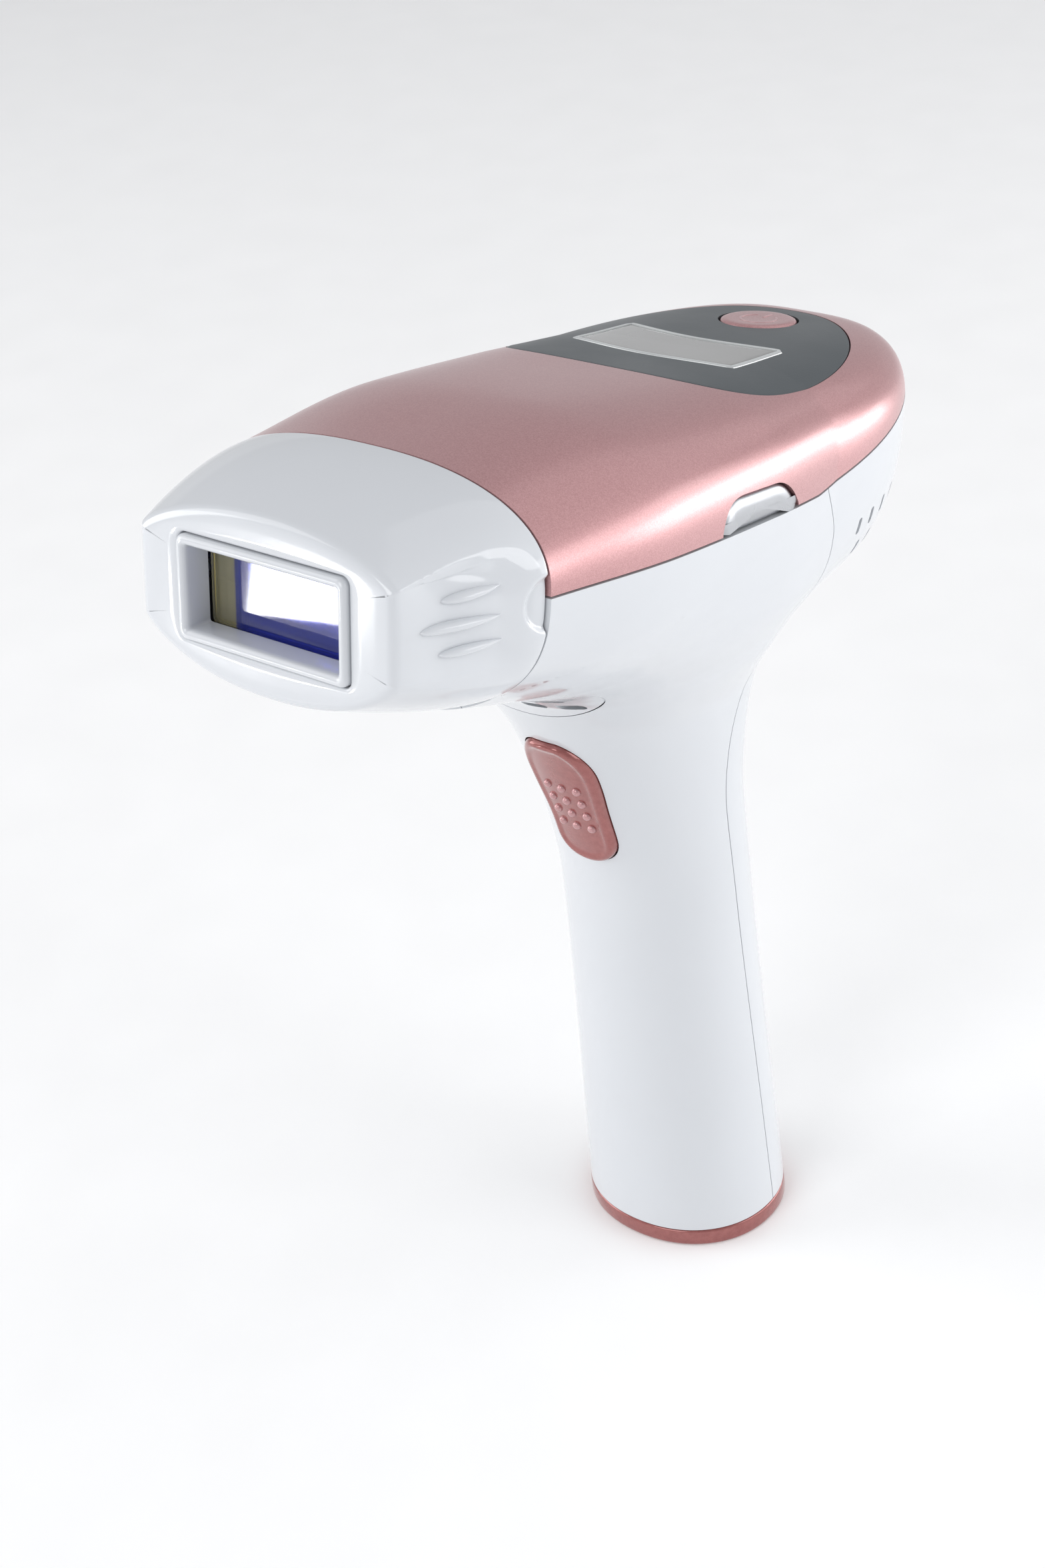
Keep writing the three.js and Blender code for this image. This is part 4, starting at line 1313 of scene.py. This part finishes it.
def cartridge():
    face_x, face_z = face_point(fine_turn)
    bearing = np.arctan2(face_z, face_x)
    rings = [upright(*hole_at(bearing, margin), y) for margin, y in HOLE_WALL]
    hole = np.column_stack(hole_at(bearing, HOLE_WALL[-1][0]))
    flat = inset(np.column_stack([face_x, face_z]), FACE_EDGE)
    for share in (0.3, 0.65, 1):
        rings.append(upright(*(hole + (flat - hole) * share).T, FACE_Y))
    start, corner = rings[-1], upright(face_x, face_z, FACE_Y)
    end = side_point(fine_turn, FACE_Y + FACE_EDGE)
    for t in (0.15, 0.3, 0.45, 0.6, 0.75, 0.9):
        rings.append(start * (1 - t) ** 2 + corner * 2 * t * (1 - t) + end * t * t)
    rear = SEAM_Y - SEAM_GAP
    for y in np.linspace(FACE_Y + FACE_EDGE, rear - 0.15, 84):
        rings.append(side_point(fine_turn, y))
    for drawn, y in ((0.05, rear - 0.05), (0.2, rear), (2, rear), (2, 18), (2, 10), (2, 4.6)):
        rings.append(drawn_in(side_point(fine_turn, y), drawn, y))
    rings.append(upright(*hole_at(bearing, 1.2), 3.4))
    return loft("cartridge_shell", to_part(np.array(rings)), caps=False)


cartridge_shell = cartridge()
dress(cartridge_shell, WHITE)
crease(cartridge_shell, 55)
finished(cartridge_shell, "lamp_cartridge", "white_shell", "cartridge_housing")


# %% [markdown]
# ## Dark ring in the seam
# A thin dark ring lies in the seam behind the cartridge as painted shade, so that the gap reads as
# a dark line and no light shows through. It is four rings of the cartridge's own outline, drawn in.


# %% Dark ring of painted shade in the seam behind the cartridge
SHADE_RING_FRONT, SHADE_RING_REAR = 24.86, 25.11


# A dark ring put in the seam as painted shade.
def make_seam_shade_ring():
    shape, rings = side_point(fine_turn, SEAM_Y - SEAM_GAP), []
    front, rear = SHADE_RING_FRONT, SHADE_RING_REAR
    for drawn, y in ((0.35, rear), (0.35, front), (1.8, front), (1.8, rear)):
        rings.append(drawn_in(shape, drawn, y))
    return crease(loft("seam_shade_ring", to_part(np.array(rings)), caps=False), 40)


seam_shade_ring = make_seam_shade_ring()
dress(seam_shade_ring, DARK)
finished(seam_shade_ring, "body", "dark_plastic")


# %% [markdown]
# ## Finger ribs
# Three leaf-shaped ribs stand in each hollow. A leaf is a row of half-round sections that
# widen quickly at the blunt front end and taper to a point behind, laid on the surface.


# %% Leaf-shaped ribs
def side_x(y, z):
    """The cartridge side's distance from the middle at a place in side view."""
    angles = np.radians(np.linspace(-60, 60, 241))
    points = side_point(angles, y)
    return np.interp(z, points[:, 2], points[:, 0])


def leaf(name, start, end, half_width, height, sign):
    start, end = np.array(start, float), np.array(end, float)
    along = (end - start) / np.linalg.norm(end - start)
    across = np.array([-along[1], along[0]])
    rings = []
    for t in np.linspace(0.004, 0.996, 40):
        plump = 2.1 * t**0.55 * (1 - t) ** 0.9
        round_half = np.linspace(0, np.pi, 15)
        places = [(np.cos(b), np.sin(b)) for b in round_half] + [(-0.6, -0.5), (0.6, -0.5)]
        ring = []
        for side, rise in places:
            y, z = start + (end - start) * t + across * side * half_width * plump
            x = side_x(y, z) + (rise * height * plump if rise > 0 else rise - 0.1)
            ring.append((sign * x, y, z))
        rings.append(ring)
    return crease(loft(name, to_part(np.array(rings))), 60)


# Front end, rear end, half width and height of each rib.
LEAVES = [
    ((8.2, 5.6), (17.2, 6.9), 1.0, 1.5),
    ((4.6, 1.4), (17.2, 2.3), 1.15, 1.7),
    ((7.8, -2.7), (17.6, -1.7), 1.0, 1.5),
]
for side, sign in (("left", 1), ("right", -1)):
    ribs = [leaf(f"finger_rib_{side}_{i}", *shape, sign) for i, shape in enumerate(LEAVES, 1)]
    for rib in ribs:
        dress(rib, WHITE)
        finished(rib, "lamp_cartridge", "white_shell")


# %% [markdown]
# ## Window: contact frame, filter, mirror and lamp
# The frame touches the skin and presses a sensor, so it moves a little. Behind it a
# coated glass filter lets only the useful light out, and a gold-coated trough throws the
# lamp's light forwards. An upright bar stands close behind the glass near one end.


# %% Contact frame
LUG_STARTS, LUG_ENDS = 17.2, 23


def contact_frame():
    section = [
        (0, 4.9), (0, 0.5), (0.05, 0.1), (0.2, -0.2), (0.45, -0.4), (0.75, -0.5), (1.05, -0.48),
        (1.35, -0.35), (1.6, -0.1), (1.78, 0.3), (1.85, 0.8), (1.85, 4.9),
    ]
    rings = []
    for drawn, y in section:
        radius = max(FRAME_CORNER - drawn * 0.6, 0.5)
        xz = rounded_rectangle(FRAME_WIDTH - 2 * drawn, FRAME_HEIGHT - 2 * drawn, radius)
        rings.append(upright(*xz.T, y))
    piece = loft("contact_rim", to_part(np.array(rings)), caps=False)
    for left, right in ((-LUG_ENDS, -LUG_STARTS), (LUG_STARTS, LUG_ENDS)):
        combine(piece, facing_block("lug", left, right, 2.9, 2, 1.6), "UNION")
    return crease(piece, 40)


contact_rim = contact_frame()
dress(contact_rim, WHITE)
finished(contact_rim, "contact_sensor", "white_shell", "contact_frame")


# %% Filter with a bevelled edge
def slab(name, width, height, front, rear, chamfer):
    rings = []
    for drawn, y in ((chamfer, front), (0, front + chamfer), (0, rear - chamfer), (chamfer, rear)):
        xz = rounded_rectangle(width - 2 * drawn, height - 2 * drawn, 0.8, 5)
        rings.append(upright(*xz.T, y))
    return crease(loft(name, to_part(np.array(rings))), 30)


filter_slab = slab("filter_slab", 34, 15, 6.1, 7.9, 0.25)
dress(filter_slab, FILTER)
finished(filter_slab, "lamp_cartridge", "filter", "filter_glass")


# %% Upright bar behind the glass
divider = facing_block("lamp_divider", -11.3, -10.2, 8.05, 7.3, 0.6)
dress(divider, DARK)
finished(divider, "lamp_cartridge", "dark_plastic")


# %% [markdown]
# ## The pieces inside
# Boards, springs, screws, the fan and the coils are plain shapes on the real object too, so
# their solids are kept as they are and only get a finish each.


# %% Finishes for the solids that keep their shape
KEPT = {
    GOLD: ["reflector"],
    QUARTZ: ["lamp_tube"],
    STEEL: ["electrode_left", "electrode_right", "trigger_spring"]
    + ["contact_spring_left", "contact_spring_right"]
    + [f"board_screw_{i}" for i in range(1, 5)]
    + ["base_screw_1", "base_screw_2"],
    DARK: ["cartridge_plate", "cartridge_plug", "cartridge_socket", "fan_frame", "fan_rotor"]
    + ["lcd_module", "power_switch", "trigger_switch", "dc_inlet"],
    FINS: ["heat_sink"],
    SLEEVE: ["ignition_coil", "flash_capacitor"],
    BOARD: ["main_board", "button_board", "trigger_board"],
    WHITE: ["base_plate"],
}
for material, names in KEPT.items():
    for name in names:
        dress(frame["nodes"][name], material)
print("solids kept:", sum(len(names) for names in KEPT.values()))


# %% [markdown]
# ## Foot ring
# A glossy rose ring closes the grip. It is a ring of the grip's own section with rounded
# outer edges, joined back to its first ring, as a tyre is.


# %% Foot ring
def foot_ring():
    section = [
        (2, 0), (0.5, 0), (0.2, 0.08), (0.04, 0.3), (0, 0.6),
        (0, 3.1), (0.08, 3.4), (0.3, 3.6), (2, 3.6),
    ]
    rings = [grip_point(turn, np.full(len(turn), z), drawn) for drawn, z in section]
    return crease(loft("foot_ring", rings, caps=False), 50)


ring_piece = foot_ring()
dress(ring_piece, ROSE_GLOSS)
finished(ring_piece, "body", "rose_gloss", "base_ring")

# %% [markdown]
# ## Clearing away
# The cutters have done their work. Anything that isn't a finished piece is removed.

# %% Remove the cutters
for piece in list(bpy.data.objects):
    if piece.type == "MESH" and "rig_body" not in piece:
        bpy.data.objects.remove(piece)

# %% [markdown]
# ## Camera
# The camera looks at the lamp end from the holder's left, from above the head. Its place
# and turn are written in the head frame, where the object is straight, and its lens is
# moderately long, so the head shortens only a little.

# %% Camera
AZIMUTH, ELEVATION, ROLL = np.radians([39.02, 22.91, 0.69])
CAMERA_PLACE = np.array([255.78, -251.82, 122.49])
level = np.cos(ELEVATION)
back = np.array([np.sin(AZIMUTH) * level, -np.cos(AZIMUTH) * level, np.sin(ELEVATION)])
level_right = np.array([np.cos(AZIMUTH), np.sin(AZIMUTH), 0])
level_up = np.cross(back, level_right)
right = np.cos(ROLL) * level_right + np.sin(ROLL) * level_up
up = np.cross(back, right)


def turned_to_part(direction):
    return to_part(direction) - to_part([0, 0, 0])


axes = np.column_stack([turned_to_part(v) for v in (right, up, back)])
place = to_part(CAMERA_PLACE)
lens_data = bpy.data.cameras.new("camera")
lens_data.sensor_fit = "VERTICAL"
lens_data.sensor_height = 36
lens_data.lens = 56.87
lens_data.clip_start = 0.01
camera = bpy.data.objects.new("camera", lens_data)
camera.matrix_world = Matrix.Translation(place * MM) @ Matrix(axes.tolist()).to_4x4()
bpy.context.scene.collection.objects.link(camera)
bpy.context.scene.camera = camera
print("camera at", np.round(place), "mm")

# %% [markdown]
# ## Floor and light
# A pale round floor runs far out and rises at its rim, so that no view shows a horizon. The
# light is soft: a bright sky, and six large lamps round the object, named as the camera
# sees them, so that no side falls dark. Two smaller lamps only make highlights: a low strip
# behind the object on the right, and a tiny one that the window mirrors to the camera.


# %% Floor
def studio_floor():
    """A round floor that rises at its rim, so that no view shows a horizon."""
    flat, bend, around = 3.0, 3.0, 96
    rise = np.radians(np.linspace(0, 50, 12))
    a = np.linspace(0, 2 * np.pi, around, endpoint=False)
    points = []
    for radius, height in zip(flat + bend * np.sin(rise), bend * (1 - np.cos(rise))):
        points += [(radius * np.cos(t), radius * np.sin(t), height) for t in a]
    mesh = bpy.data.meshes.new("floor")
    rim = [face[::-1] for face in loft_faces(len(rise), around, caps=False)]
    mesh.from_pydata(points, [], [tuple(range(around)), *rim])
    mesh.shade_smooth()
    made = bpy.data.objects.new("floor", mesh)
    made.location.z = -0.0002
    bpy.context.scene.collection.objects.link(made)
    return made


floor = studio_floor()
PAPER = finish(
    "floor_paper", (0.9, 0.9, 0.9), (0.6, 0.7), Emission_Color=(1, 1, 1, 1), Emission_Strength=0.13
)
dress(floor, PAPER)


# %% Lights
def softbox(name, place, aim, width, height, power):
    """A rectangular lamp at a place in metres, turned to face a point."""
    data = bpy.data.lights.new(name, "AREA")
    data.shape = "RECTANGLE"
    data.size, data.size_y = width, height
    data.energy = power
    lamp = bpy.data.objects.new(name, data)
    lamp.location = place
    away = Vector(place) - Vector(aim)
    lamp.rotation_euler = away.to_track_quat("Z", "Y").to_euler()
    bpy.context.scene.collection.objects.link(lamp)


MIDDLE = (0, 0, 0.12)


def studio_place(azimuth, elevation, distance=1.4):
    """Place in metres round the object: 0 is in front, 90 on the holder's left."""
    a, e = np.radians([azimuth, elevation])
    level = distance * np.cos(e)
    return (level * np.sin(a), -level * np.cos(a), distance * np.sin(e) + MIDDLE[2])


# Name, azimuth, elevation, width, height and power.
BOXES = [
    ("left", -60, 12, 0.7, 0.7, 5),
    ("left_high", -60, 40, 0.7, 0.7, 2),
    ("front", 0, 30, 0.7, 0.7, 5),
    ("right", 100, 25, 0.7, 0.7, 4),
    ("right_low", 130, 8, 1.0, 0.5, 3),
    ("behind", 150, 50, 1.6, 1.6, 3),
]
SIDE_STRIP = (0.46, 0.59, 0.1)
for name, azimuth, elevation, width, height, power in BOXES:
    softbox(name, studio_place(azimuth, elevation), MIDDLE, width, height, power)
softbox("side_strip", SIDE_STRIP, (0.03, 0, 0.17), 0.5, 0.17, 1.3)

WINDOW_NORMAL = -AFT
# The lamp stands where the sight line goes after the glass has mirrored it.
GLINT_PLACE, GLINT_RUN = to_part([5.1, 6.1, 2.6]), 500
sight = (GLINT_PLACE - place) / np.linalg.norm(GLINT_PLACE - place)
bounce = sight - 2 * sight.dot(WINDOW_NORMAL) * WINDOW_NORMAL
glint_lamp = GLINT_PLACE + bounce * GLINT_RUN
softbox("window_glint", glint_lamp * MM, GLINT_PLACE * MM, 0.043, 0.021, 0.085)
print("window glint lamp at", np.round(glint_lamp), "mm")
world = bpy.data.worlds.new("studio")
bpy.context.scene.world = world
world.use_nodes = True
sky = world.node_tree.nodes["Background"]
sky.inputs["Color"].default_value = (0.96, 0.97, 1.0, 1)
sky.inputs["Strength"].default_value = 0.5
bpy.context.scene.view_settings.view_transform = "Standard"
